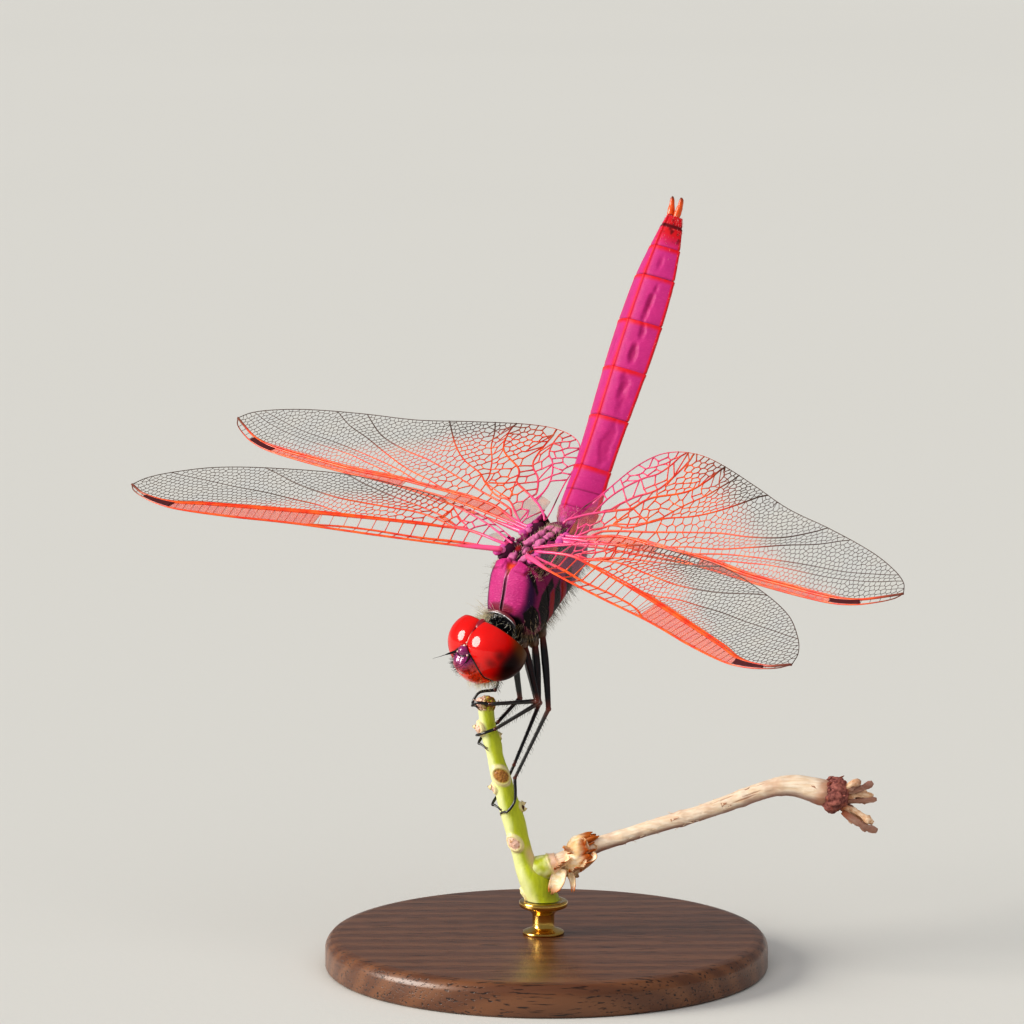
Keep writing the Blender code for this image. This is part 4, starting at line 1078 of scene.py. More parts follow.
def wing_frame(hinge, side, sweep, dihedral, pitch):
    """The matrix of a wing on the insect: +X along the wing, +Y ahead, before it is mirrored."""
    return placed(hinge, (-side * pitch, -dihedral, side * (90.0 - sweep)))


def thorax_rings():
    """The thorax's skin as rows of points with its markings and painted shade, before its hairs."""
    rows, columns = 250, 300
    x = np.concatenate([np.linspace(3.30, -5.0, rows - 16), np.linspace(-5.04, -5.55, 16)])
    top, bottom, half_width, square = smooth_between(THORAX, x).T
    a = turns(columns) + np.pi / 2
    c, s = np.cos(a)[None], np.sin(a)[None]
    power = (2 / square)[:, None]
    y = half_width[:, None] * np.sign(c) * np.abs(c) ** power
    z = ((top + bottom) / 2)[:, None] + ((top - bottom) / 2)[:, None] * np.sign(s) * np.abs(s) ** power
    x = np.broadcast_to(x[:, None], y.shape)
    flank = abs(y)
    arc = np.degrees(np.arctan2(z - THORAX_AXIS_Z, flank + 1e-6)) * 0.042
    place = np.stack([x, y, z], -1)
    rough = grain(place, 0.8)
    fine = grain(place, 0.2, 3.0)
    zero = np.zeros(x.shape)
    v = {key: zero.copy() for key in ("magenta", "purple", "red", "orange", "lavender", "black", "pale")}

    def mark(key, amount):
        v[key] = np.maximum(v[key], amount)

    # Darker magenta low on the sides: partly the flank's own colour, partly painted shade
    mark("magenta", ease(2.3, 1.2, arc + 0.55 * (x - 1.1)) * 0.9)
    for key, outline in SIDE_MARKS:
        outline = [(ax, ay * 0.042) for ax, ay in outline]
        patch = inside(x + 0.05 * fine, arc + 0.05 * rough, outline, 0.28 if key == "purple" else 0.07)
        mark(key, patch)
        if key == "red":
            v["black"] = v["black"] * (1 - patch)
    mark("black", ease(-1.9, -2.6, arc + 0.2 * rough))
    # Side sutures
    lift = zero.copy()
    for (x0, a0), (x1, a1) in (((0.9, 56), (2.7, -20)), ((0.1, 50), (1.5, -60)), ((-1.6, 50), (-0.2, -60))):
        t = (x1 - x0) / ((a1 - a0) * 0.042)
        off = (x - x0 - (arc - a0 * 0.042) * t) / math.hypot(1, t)
        on = ease(a1 * 0.042, a1 * 0.042 + 0.2, arc) * ease(a0 * 0.042, a0 * 0.042 - 0.2, arc)
        lift -= 0.07 * hump(off, 0.06) * on
    # Front keel: a dark line between pale edges
    front = ease(1.0, 1.5, x) * ease(3.3, 3.1, x) * (z > THORAX_AXIS_Z)
    lift += front * (0.13 * hump(y, 0.05) - 0.06 * hump(flank - 0.12, 0.05))
    mark("black", front * ease(0.10, 0.05, flank))
    mark("pale", front * 0.5 * hump(flank - 0.14, 0.035))
    # Sinus at the top of the keel, and the lobes on each side of it
    back = (z > THORAX_AXIS_Z + 1.2)
    sinus = inside(x, flank, [(1.75, -0.05), (1.55, 0.08), (0.75, 0.42), (0.45, 0.30), (0.55, -0.05)],
                   0.06) * back
    lift -= 0.22 * sinus
    mark("orange", sinus * ease(0.45, 0.9, x))
    mark("red", sinus * 0.6)
    lobe = inside(x, flank, [(1.35, 0.50), (1.25, 1.35), (0.62, 1.62), (0.42, 0.62), (0.80, 0.48)], 0.10) * back
    lift += 0.13 * lobe
    edge = 4 * lobe * (1 - lobe)
    lift -= 0.05 * edge
    mark("red", edge * 0.55 * ease(0.9, 1.4, flank))
    # The back between the wings: raised plates in a sunken ground, which is painted black between them as shade
    sunk = ease(0.55, 0.30, x) * ease(-4.9, -4.4, x) * ease(1.55, 1.95, z - THORAX_AXIS_Z)
    shaded_ground = sunk.copy()
    lift -= 0.16 * sunk
    ragged = grain(place, 0.34, 6.0)
    for px, py, half_long, half_wide, turn, height, colour in BACK_PLATES:
        c, s = math.cos(math.radians(turn)), math.sin(math.radians(turn))
        across, along = (flank - py) * c + (x - px) * s, (x - px) * c - (flank - py) * s
        away = (abs(along / half_long) ** 3.2 + abs(across / half_wide) ** 3.2) ** (1 / 3.2)
        away = away + 0.38 * ragged + 0.12 * fine
        plate = (0.72 * ease(1.08, 0.80, away) + 0.28 * ease(0.9, 0.1, away)) * back
        lift += (height + 0.10) * plate * (1 + 0.22 * fine)
        shaded_ground = shaded_ground * (1 - ease(1.0, 0.80, away) * back)
        if colour != "bloom":
            mark(colour, ease(1.0, 0.8, away) * back)
    mark("black", shaded_ground * 0.92)
    mark("black", back * ease(0.05, 0.02, flank) * ease(0.4, 0.2, x) * ease(-4.6, -4.2, x))
    tail = ease(-4.3, -4.7, x)
    mark("magenta", tail)
    low_front = ease(2.85, 3.15, x) * (1 - front * ease(0.9, 1.5, arc))
    mark("red", 0.6 * ease(2.75, 3.1, x) * ease(0.3, 1.2, arc))
    mark("purple", 0.75 * ease(2.80, 3.02, x) * ease(1.15, 0.85, flank) * (z > THORAX_AXIS_Z))
    mark("black", low_front * ease(0.6, -0.2, arc))
    lift += 0.012 * rough
    rings = place + outward(place) * lift[..., None]
    # The rear face is cut flat where the abdomen starts
    tailward = np.array([-math.cos(math.radians(36.4)), 0.0, math.sin(math.radians(36.4))])
    end = np.array([-6.30, 0.0, -1.95]) + tailward * (SEGMENT_ENDS[0] + 0.25)
    past = np.maximum(0.0, (rings - end) @ tailward)
    rings = rings - past[..., None] * tailward
    return rings, arc, v


def build_thorax():
    """The thorax's bloomed plates, its wing root knobs, its hips and its fuzz."""
    rings, arc, marks = thorax_rings()
    skin = Shape()
    add_body(skin, rings, INSECT, **marks)
    # Its magenta and purple are partly painted shade on the sides, and its black in the sunken back is painted
    # shade
    skin.piece("thorax_skin", waxy_cuticle("bloomed_thorax_cuticle", chosen_colours().pink, [
        ("magenta", "#76164C"), ("lavender", "#D0709E"), ("purple", "#30083A"), ("red", "#8E1018"),
        ("orange", "#D8481C"), ("black", "#0E0709"), ("pale", "#E8C0D0")], 0.06), "thorax_cuticle", ("thorax",))

    roots = Shape()
    for pattern, hinge, side, sweep, dihedral, pitch in WINGS.values():
        reach = 1.2 if pattern is HIND_WING else 1.0
        for (dx, dy, dz), radii, tone in ROOT_KNOBS:
            centre = hinge[0] + dx * reach, hinge[1] + side * dy, hinge[2] + dz
            add_ball(roots, centre, radii, INSECT, 18, 26, 0.10, **tone)
        # Folded skin joins the wing's root edge to the back; it is painted black, as shade in the hollow there,
        # except near its outer edge
        edge = np.linspace(0.1, pattern["trailing"][0][1] - 0.05, 34)
        outer = carried(stacked(0.02, -side * edge, 0.0), wing_frame(hinge, side, sweep, dihedral, pitch))
        back = smooth_between(THORAX, outer[:, 0])[:, 0] - 0.45
        inner = stacked(outer[:, 0], side * (abs(outer[:, 1]) * 0.80), back)
        part = np.linspace(0, 1, 12)[None, :, None]
        web = outer[:, None] + (inner - outer)[:, None] * part
        crease = grain(web, 0.5, 3.0)
        web = web + (crease * 0.10 * np.sin(np.pi * part[..., 0]))[..., None] * (0.3, side, 0.3)
        add_sheet(roots, web, 0.10, matrix=INSECT, magenta=0.8 * ease(-0.3, 0.3, crease),
                  black=ease(0.02, 0.22, part[..., 0]) * np.ones((34, 1)))
    roots.piece("wing_root_knobs", waxy_cuticle("bloomed_wing_root_cuticle", "#C84A92", [
        ("lavender", "#D0709E"), ("red", "#A01820"), ("magenta", "#8A1C58"), ("black", "#10080A")]),
        "pink_cuticle")

    hips = Shape()
    wide = (0.50, 0.56, 0.60, 0.60, 0.58, 0.54, 0.50, 0.46, 0.43, 0.41, 0.38, 0.34, 0.28, 0.16)
    t = np.linspace(0, 1, len(wide))[:, None]
    for places in LEGS.values():
        hip = np.array(places[0])
        inner = hip + np.array([-0.15, -0.30 * np.sign(hip[1]), 0.95])
        path = inner + (hip + (0.05, 0, -0.12) - inner) * t
        add_tubes(hips, carried(path, INSECT)[None], wide, 22, turned((0, 1, 0), INSECT),
                  brown=ease(0.25, 0.6, t.T) * 0.7)
    hips.piece("leg_hips", hard_chitin("hip_chitin", "#160D0C", [("brown", "#6E4428")]), "black_cuticle")
    build_thorax_hair(rings, arc)


def build_thorax_hair(rings, arc):
    """Brown fuzz on the flanks and below, and pale hairs on the back and round the hips."""
    rng = np.random.default_rng(5)
    x, flank, z = rings[..., 0], abs(rings[..., 1]), rings[..., 2]
    sides = ease(2.0, 1.0, abs(arc - 0.6)) * ease(3.3, 2.4, x) * ease(-4.6, -3.5, x)
    below = ease(-0.8, -1.6, arc) * 1.4
    fuzz, pale = Shape(), Shape()
    grow_hairs(fuzz, rings, INSECT, sides * 0.14 + below, 1800, rng, lean=(0.25, 0, -0.10), lengths=(0.35, 0.95),
               stout=0.75, sag=(0, 0, -0.15))
    fuzz.piece("thorax_fuzz", hair_keratin("brown_fuzz_hair", "#3A2A14", "#7C6638"), "thorax_cuticle")
    middle = ease(0.6, 0.2, x) * ease(-4.9, -4.4, x) * (0.35 + ease(-2.6, -4.2, x))
    edges = 1.2 * ease(1.2, 1.6, flank) * ease(1.4, 0.6, x)
    back = z > THORAX_AXIS_Z + 1.6
    grow_hairs(pale, rings, INSECT, back * (middle + edges), 1500, rng, lean=(-0.5, 0, 0.2), lengths=(0.15, 0.42),
               stout=0.9, upright=0.9)
    round_hips = ease(1.6, 2.4, x) * ease(-0.2, -0.9, arc)
    grow_hairs(pale, rings, INSECT, round_hips, 260, rng, lean=(0.5, 0, -0.2), lengths=(0.25, 0.60),
               sag=(0, 0, -0.2))
    pale.piece("thorax_pale_hair", hair_keratin("pale_body_hair", "#E8D8BC", "#C8A070"), "thorax_cuticle")


def build_collar():
    """The black beaded collar with its glossy white rear edge, the neck and the hair fringe."""
    rng = np.random.default_rng(9)
    x, turn = np.linspace(3.28, 4.58, 110), turns(180)
    middle, half_width, half_height = smooth_between(COLLAR, x).T[..., None]
    column = x[:, None]
    rings = stacked(column, half_width * np.cos(turn), middle + half_height * np.sin(turn))
    upper = ease(-0.1, 0.5, np.sin(turn))[None]
    beads = np.maximum(0, grain(rings, 0.19)) * ease(3.55, 3.66, column) * ease(4.05, 3.9, column)
    rings = rings + outward(rings) * (0.13 * hump(column - 3.50, 0.11) * upper + 0.16 * beads)[..., None]
    white = hump(column - 3.61, 0.018) * ease(0.15, 0.6, np.sin(turn)) * ease(-0.6, 0.0, grain(rings, 0.5))
    collar = Shape()
    add_body(collar, rings, INSECT, white=white, brown=ease(3.62, 3.56, column) * upper * 0.8)
    chitin = hard_chitin("collar_chitin", "#101014", [("brown", "#7A2A34"), ("white", "#FFFAFC")], 0.30,
                         0.35, 0.16, 0.03)
    collar.piece("collar", chitin, "black_cuticle", ("prothorax", "neck"))

    fringe = Shape()
    weight = hump(column - 3.75, 0.16) * (0.12 + ease(0.1, -0.7, rings[..., 1])) * (0.3 + upper)
    root, normal, patch = scattered(rings, weight, 170, rng)
    aim = normal * 1.1 + np.array([0.25, 0, 0.25]) + 0.35 * rng.standard_normal(root.shape)
    right, left = rng.uniform(0.5, 1.2, len(root)), rng.uniform(0.15, 0.45, len(root))
    length = np.where(root[:, 1] < 0, right, left)
    add_hairs(fringe, carried(root - 0.03 * normal, INSECT), turned(aim, INSECT), length, hair_radius(), patch,
              (0, 0, -0.5), rng)
    # A loose curly tuft stands out behind the head on the right side
    flat = rings.reshape(-1, 3)
    pick = rng.choice(np.flatnonzero((flat[:, 1] < -0.55) & (flat[:, 2] > -4.3) & (flat[:, 0] < 3.95)), 60)
    aim = np.array([-0.05, -0.85, 0.75]) + 0.50 * rng.standard_normal((60, 3))
    add_hairs(fringe, carried(flat[pick] * (1, 0.97, 1), INSECT), turned(aim, INSECT), rng.uniform(0.6, 1.7, 60),
              1.7 * hair_radius(), rng.uniform(0.05, 0.95, (60, 2)), turned((0.7, 0.3, 0.4), INSECT), rng)
    fringe.piece("collar_fringe", hair_keratin("ivory_collar_hair", "#FAF6E8", "#D8CCA0"), "black_cuticle")


# ---- Head ----


def face_distance(points):
    """Rough distance outside each of the face's swellings."""
    return [
        (np.linalg.norm((points - np.array(centre)) / np.array(radii), axis=-1) - 1) * min(radii)
        for centre, radii in FACE_LUMPS
    ]


def joined(distances, soft):
    """Smooth union of distances."""
    total = distances[0]
    for other in distances[1:]:
        h = np.clip(0.5 + 0.5 * (other - total) / soft, 0, 1)
        total = other * (1 - h) + total * h - soft * h * (1 - h)
    return total


def eye_distance(points, side):
    centre = np.array(EYE_CENTRE) * (1, side, 1)
    return (np.linalg.norm((points - centre) / np.array(EYE_RADII), axis=-1) - 1) * 2.2


def build_eyes():
    """Two domed compound eyes that meet along a pale seam, with the back of the head behind them."""
    lens = eye_lens(chosen_colours())
    centre = np.array(EYE_CENTRE)
    limit = math.acos(-EYE_CENTRE[1] / EYE_RADII[1])
    tilt = np.concatenate([np.linspace(0.01, limit - 0.12, 110), np.linspace(limit - 0.115, limit, 40)])[:, None]
    turn = turns(190)
    n = stacked(np.sin(tilt) * np.cos(turn), np.cos(tilt), np.sin(tilt) * np.sin(turn))
    rings = n * np.array(EYE_RADII) + centre
    groove = 1 - (0.06 + 0.08 * ease(0.3, -0.8, rings[..., 0])) * np.exp(-rings[..., 1] / 0.15)
    for axis in (0, 2):
        rings[..., axis] = centre[axis] + (rings[..., axis] - centre[axis]) * groove
    x = rings[..., 0]
    rings[..., 0] = np.where(x < EYE_BACK, EYE_BACK + (x - EYE_BACK) * 0.16, x)
    drift = grain(rings, 1.1)
    low = 0.80 * n[..., 1] - 0.42 * n[..., 2] + 0.05 * n[..., 0] + 0.06 * drift
    aft = 0.72 * n[..., 1] - 0.62 * n[..., 0] - 0.16 * n[..., 2]
    rear = ease(EYE_BACK + 0.10, EYE_BACK - 0.02, rings[..., 0])
    # shade is painted shade on the lower flank, partly also the eye's own darker colour there
    tones = {
        "shade": ease(0.34, 0.76, low), "olive": np.maximum(ease(0.60, 0.92, aft) * 0.85, rear * 0.8),
        "blob": 0.0 * drift, "dull": np.maximum(ease(0.10, 0.55, low), ease(0.35, 0.75, aft)),
    }
    for aim, wide, deep in FALSE_PUPILS:
        away = np.linalg.norm(n - unit(np.array(aim)), axis=-1)
        tones["blob"] = np.maximum(tones["blob"], deep * ease(wide * 2.0, 0.0, away + 0.07 * drift))
    for name, side in (("eye_left", 1), ("eye_right", -1)):
        eye = Shape()
        sided = rings * (1, side, 1)
        # gap darkens the eye where it meets the face: painted shade in the crease there
        add_body(eye, sided, HEAD, gap=ease(0.07, 0.02, joined(face_distance(sided), 0.05)), **tones)
        eye.piece("compound_" + name, lens, "eye_cornea", (name,))


def build_face():
    """The face as one skin: frons, clypeus, labrum and vertex, and its bristles."""
    tilt, turn = np.linspace(0.01, 2.15, 210)[:, None], turns(240)
    aim = stacked(np.cos(tilt), np.sin(tilt) * np.cos(turn), np.sin(tilt) * np.sin(turn))
    heart = np.array(FACE_HEART)
    near, far = np.zeros(aim.shape[:2]), np.full(aim.shape[:2], 4.0)
    for _ in range(26):
        middle = (near + far) / 2
        out = joined(face_distance(heart + aim * middle[..., None]), 0.07) > 0
        near, far = np.where(out, near, middle), np.where(out, middle, far)
    rings = heart + aim * near[..., None]
    x, y, z = rings[..., 0], rings[..., 1], rings[..., 2]
    rough, fine = grain(rings, 0.45), grain(rings, 0.14, 5.0)
    _, frons, vertex, _ = face_distance(rings)
    front = ease(0.7, 1.2, x)
    crease = hump(vertex - frons, 0.055) * ease(1.45, 1.6, z)
    furrow = hump(y, 0.15) * ease(0.95, 1.35, z) * ease(0.0, 0.15, vertex) * front
    lift = -0.05 * furrow - 0.07 * crease + 0.008 * fine
    for level, wide, deep in FACE_SEAMS:
        lift = lift - deep * front * hump(z - level - 0.10 * y * y, wide)
    seam = hump(z + 0.95 - 0.10 * y * y, 0.08)
    split = hump(y, 0.04) * ease(-0.95, -1.1, z)
    eye = np.minimum(eye_distance(rings, 1), eye_distance(rings, -1))
    pits = ease(0.45, 0.62, grain(rings, 0.22, 8.0)) * ease(0.1, 0.4, abs(y))
    pits = pits * ease(1.6, 1.2, z) * ease(0.0, 0.5, z)
    # Painted shade: the face is darkened in the crease under the vertex, at the edges of the eyes, in the low
    # seam and the split below it, and under the face
    crease_shade = (crease, ease(0.08, 0.02, eye), 0.9 * seam, 0.9 * split * 0.8, ease(-1.2, -1.5, z))
    rings = rings + outward(rings) * lift[..., None]
    face = Shape()
    add_body(face, rings, HEAD, violet=np.maximum(0.85 * ease(1.34, 1.80, z + 0.16 * rough),
                                                  ease(0.05, -0.02, vertex)),
             crimson=ease(0.80, 1.45, z + 0.18 * rough), gap=np.maximum.reduce(crease_shade),
             spot=np.maximum(0.7 * pits, furrow * 0.12))
    face.piece("face_skin", face_chitin(chosen_colours()), "red_cuticle",
               ("head_face", "head_frons", "head_vertex"))
    build_head_parts()
    build_head_hair(rings, eye)


def build_head_parts():
    """The ocelli, the maroon triangle between the eyes, the back of the head and the antennae."""
    beads = Shape()
    for centre, radius in OCELLI:
        add_ball(beads, centre, (radius,) * 3, HEAD, 16, 20)
    beads.piece("ocelli", ocellus_lens(), "eye_cornea")

    triangle = Shape()
    add_ball(triangle, (-0.72, 0.0, 2.14), (0.58, 0.34, 0.27), HEAD, 40, 60, 0.04)
    # A thin line along the seam between the eyes, paler towards the front: the pale is partly the seam's pale
    # hairs, partly a painted glint on them
    x = np.linspace(-0.55, 1.12, 40)
    z = EYE_CENTRE[2] + 0.945 * EYE_RADII[2] * np.sqrt(0.9115 - ((x - EYE_CENTRE[0]) / EYE_RADII[0]) ** 2)
    add_tubes(triangle, carried(stacked(x, 0.0, z), HEAD)[None], 0.045, 10, turned((0, 0, 1), HEAD),
              pale=ease(-0.2, 0.6, x)[None])
    maroon = hard_chitin("occipital_triangle_chitin", "#7E0C20", [("pale", "#D88070")], 0.3, 0.5)
    triangle.piece("occipital_triangle", maroon, "red_cuticle")

    rear = Shape()
    add_ball(rear, REAR_CENTRE, REAR_RADII, HEAD, 60, 90, 0.02)
    rear.piece("head_rear", hard_chitin("head_rear_chitin", "#140C0A", lift=0.02), "black_cuticle",
               ("head_occiput",))

    feelers = Shape()
    part = np.linspace(0, 1, 40)
    wide = np.interp(part, np.linspace(0, 1, 7), (0.10, 0.11, 0.085, 0.07, 0.022, 0.016, 0.008))
    for side in (1, -1):
        path = through(np.array(ANTENNA) * (1, side, 1), part)
        add_tubes(feelers, carried(path, HEAD)[None], wide, 10, turned((0, 0, 1), HEAD))
    feelers.piece("antennae", hard_chitin("antenna_chitin", "#0E0A0C", rough=0.4), "black_cuticle",
                  ("antenna_left", "antenna_right"))


def build_head_hair(rings, eye):
    """Black bristles on the face, and pale hair on the chin and behind the eyes."""
    rng = np.random.default_rng(3)
    bristles, pale = Shape(), Shape()
    x, y, z = rings[..., 0], rings[..., 1], rings[..., 2]
    weight = ease(0.9, 1.4, x) * (ease(1.0, 1.7, z) * 0.5 + ease(1.4, 0.7, abs(z - 0.9)) * ease(0.5, 1.0, abs(y)))
    grow_hairs(bristles, rings, HEAD, weight * (eye > 0.1), 240, rng, lean=(0, 0, 0.35), lengths=(0.18, 0.48),
               sink=0.02)
    bristles.piece("face_bristles", hair_keratin("black_face_bristle", "#120C0C", "#3A2018"), "black_cuticle")
    chin = ease(-0.45, -1.05, z) * ease(0.5, 1.0, x)
    grow_hairs(pale, rings, HEAD, chin, 420, rng, lean=(0.2, 0, -0.5), lengths=(0.25, 0.70), stout=1.4,
               sag=(0, 0, -0.2), sink=0.02)
    back = unit_ball(40, 60, 0.05) * np.array(REAR_RADII) + np.array(REAR_CENTRE)
    rim = np.hypot(back[..., 1] / REAR_RADII[1], (back[..., 2] - REAR_CENTRE[2]) / REAR_RADII[2])
    weight = ease(0.4, -0.2, back[..., 0] - REAR_CENTRE[0]) * ease(0.5, 0.9, rim) * (0.25 + (back[..., 1] < 0.3))
    grow_hairs(pale, back, HEAD, weight, 230, rng, lean=(-0.4, 0, 0.3), lengths=(0.2, 0.6), sink=0.02)
    pale.piece("head_pale_hair", hair_keratin("pale_head_hair", "#F4EEDA", "#C8BC90"), "red_cuticle")


# ---- Abdomen ----


def build_abdomen():
    """The raised abdomen: ten bloomed segments with red rings and keel, a painted red glow along its edges, and
    its hair.
    """
    at = np.concatenate([np.linspace(-0.95, 23.42, 430), [23.47, 23.50]])
    half_width = smooth_between(ABDOMEN_WIDTH, at)
    half_height = half_width * smooth_between(ABDOMEN_DEPTH, at)
    past = np.searchsorted(SEGMENT_ENDS, at, side="right")
    into = at - np.array((-0.95,) + SEGMENT_ENDS)[past]
    left = np.array(SEGMENT_ENDS + (23.6,))[past] - at
    draw = 1.0 + 0.022 * ease(0.5, 0.0, left) - 0.030 * ease(0.22, 0.0, into) * (at > 0.2)
    draw[-2:] *= (0.9, 0.55)
    column, into, left, draw = at[:, None], into[:, None], left[:, None], draw[:, None]
    y, dome = np.cos(turns(168)), np.sin(turns(168))
    z = np.where(dome >= 0, 1.0 - abs(y) ** 1.6, -0.62 * np.sqrt(np.maximum(0.0, 1.0 - abs(y) ** 2.6)))
    rings = stacked(column, half_width[:, None] * draw * y, half_height[:, None] * draw * z)
    along, side = rings[..., 0], rings[..., 1]
    rough, fine, crumple = grain(rings, 1.2), grain(rings, 0.35, 4.0), grain(rings * (0.7, 1, 1), 0.75, 12.0)
    roof = ease(-0.05, 0.15, z) + 0 * column
    middle = ease(0.35, 0.9, along)
    joint = hump(into, 0.05) * (column > 0.2)
    # Weak cross folds inside the second and third segments
    fold = hump(along - 2.14 + 0.05 * side, 0.05) * roof
    hollow = 0 * rough
    lift = 0.09 * hump(side, 0.06) * roof * middle - 0.045 * joint + 0.010 * rough + 0.006 * fine
    lift = lift - 0.045 * fold - 0.02 * hump(along - 3.1, 0.06) * roof
    # Each hollow sinks the skin and is painted darker inside, as shade
    for centre, across, half_long, half_wide, deep in HOLLOWS:
        away = np.hypot((along - centre) / half_long, (side - across) / half_wide)
        dip = ease(1.25, 0.15, away + 0.55 * crumple + 0.15 * fine) * roof
        lift = lift - deep * dip
        hollow = np.maximum(hollow, dip * deep / 0.28)
    band = ease(0.46, 0.12, left) * (column > 3.0) * (0.78 + 0.22 * ease(-0.5, 0.3, fine))
    blush = (0.30 + 0.35 * ease(1.5, 0.2, into)) * ease(-0.35, 0.0, side) * ease(0.55, 0.05, side)
    band = np.maximum(band * ease(23.0, 21.5, along), blush * roof * middle * ease(3.0, 6.0, along))
    # Red along the side edges is a painted glow, as of light shining through the thin edges
    edge = np.maximum(ease(0.93, 0.995, -y), 0.8 * ease(0.82, 0.98, y)) * ease(0.2, 1.0, along)
    tail = ease(20.85, 22.0, along + 0.35 * rough) * (0.40 + 0.60 * ease(0.45, -0.35, side))
    flecks = 0.8 * tail * ease(0.15, 0.5, fine) * ease(0.1, -0.5, side)
    darks = np.broadcast_arrays(joint * 0.6, 0.9 * ease(0.20, 0.08, abs(along - 22.62)), fold * 0.55, flecks)
    flame = ease(20.9, 22.2, along) * ease(0.0, 0.5, rough + 0.3) * 0.8
    rings = rings + outward(rings) * lift[..., None]
    skin = Shape()
    add_body(skin, rings, ABDOMEN, hollow=hollow, band=band, keel=hump(side, 0.11) * roof * middle, edge=edge,
             front=ease(0.1, -0.3, along) * 0.8, tail=tail,
             dark=np.maximum.reduce(darks), flame=np.maximum(flame, ease(22.7, 22.85, along)),
             below=ease(0.05, -0.45, z) + 0 * column)
    # hollow is painted shade in the dried hollows, and edge a painted glow along the side edges
    cuticle = waxy_cuticle("bloomed_abdomen_cuticle", chosen_colours().pink, [
        ("front", "#CC62A8"), ("hollow", "#A01458"), ("below", "#A81848"), ("band", "#D01426"),
        ("edge", "#DC1826"),
        ("keel", "#CC0A22"), ("tail", "#C81420"), ("flame", "#E85400"), ("dark", "#480812")], bloom=0.15)
    skin.piece("abdomen_skin", cuticle, "pink_cuticle", tuple("abdomen_%02d" % n for n in range(1, 11)))

    rng = np.random.default_rng(8)
    down = Shape()
    build_claspers(down, rng)
    grow_hairs(down, rings, ABDOMEN, roof * ease(0.9, 0.0, along), 1300, rng, lean=(0.8, 0, 0),
               lengths=(0.10, 0.24),
               stout=0.8, upright=0.55, sink=0.02)
    end = ease(19.5, 23.0, along) + ease(22.5, 22.9, along) + 0.25 * edge
    grow_hairs(down, rings, ABDOMEN, end, 320, rng, lean=(0.9, 0, 0), lengths=(0.10, 0.22), stout=0.8,
               upright=0.5,
               sink=0.02)
    down.piece("abdomen_down", hair_keratin("pale_abdomen_hair", "#F0C8C4", "#D08878"), "pink_cuticle")


def build_claspers(down, rng):
    """The two claspers at the tail and the plate below them; their hairs join the abdomen's."""
    claspers = Shape()
    part = np.linspace(0, 1, 40)
    for path, sign in ((CERCUS, 1), (CERCUS, -1), (EPIPROCT, 1)):
        smooth = through(np.array(path) * (1, sign, 1, 1) + (SEGMENT_ENDS[-1], 0, 0, 0), part)
        places = smooth[:, :3]
        lumps = 1 + 0.10 * grain(places + sign, 0.22)
        add_tubes(claspers, carried(places, ABDOMEN)[None], smooth[:, 3] * lumps, 20, turned((0, 0, 1), ABDOMEN),
                  tip=ease(0.60, 1.0, part))
        pick = rng.integers(4, 30, 90)
        aims = unit(rng.standard_normal((90, 3))) + (0.5, 0, 0)
        add_hairs(down, carried(places[pick], ABDOMEN), turned(aims, ABDOMEN), rng.uniform(0.14, 0.30, 90),
                  hair_radius(), rng.uniform(0.05, 0.95, (90, 2)), (0, 0, 0), rng)
    chitin = hard_chitin("clasper_chitin", "#D4500C", [("tip", "#6A2408")], 0.35)
    claspers.piece("tail_claspers", chitin, "red_cuticle", ("cercus_left", "cercus_right", "epiproct"))


# ---- Wings ----


def vein_lines(wing, u):
    """Places of the lengthwise veins at u, from the front edge to the hind edge."""
    lead, trail = smooth_between(wing["leading"], u), smooth_between(wing["trailing"], u)
    lines = [lead]
    for ending, _, table in wing["veins"]:
        inner = smooth_between(table, u)
        after = trail if ending == "hind" else lines[-1]
        line = np.where(u < table[0][0], lines[-1], np.where(u > table[-1][0], after, inner))
        lines.append(np.clip(line, trail, lines[-1]))
    return np.array(lines + [trail])


def line_heights(wing, u, lines):
    """The fold of the wing: veins lie alternately high and low, and level out where they join."""
    rise = wing["sign"] * (0.15 * (1 - u) + 0.03)
    rows = [rise * ease(0.0, 0.7, lines[0] - lines[-1])]
    for k in range(1, len(lines) - 1):
        own = rows[-1] + (rise * (1 if k % 2 == 0 else -1) - rows[-1]) * ease(0.0, 0.7, lines[k - 1] - lines[k])
        rows.append(own * ease(0.0, 0.7, lines[k] - lines[-1]))
    return np.array(rows + [0.0 * rise])


def folded_lines(wing, u):
    """Places and heights of the wing's lengthwise veins at u."""
    lines = vein_lines(wing, u)
    return lines, line_heights(wing, u, lines)


def on_fold(y, lines, heights):
    """Height of the folded wing at places across it: one row of places for each u."""
    return np.stack([np.interp(-y[i], -lines[:, i], heights[:, i]) for i in range(len(y))])


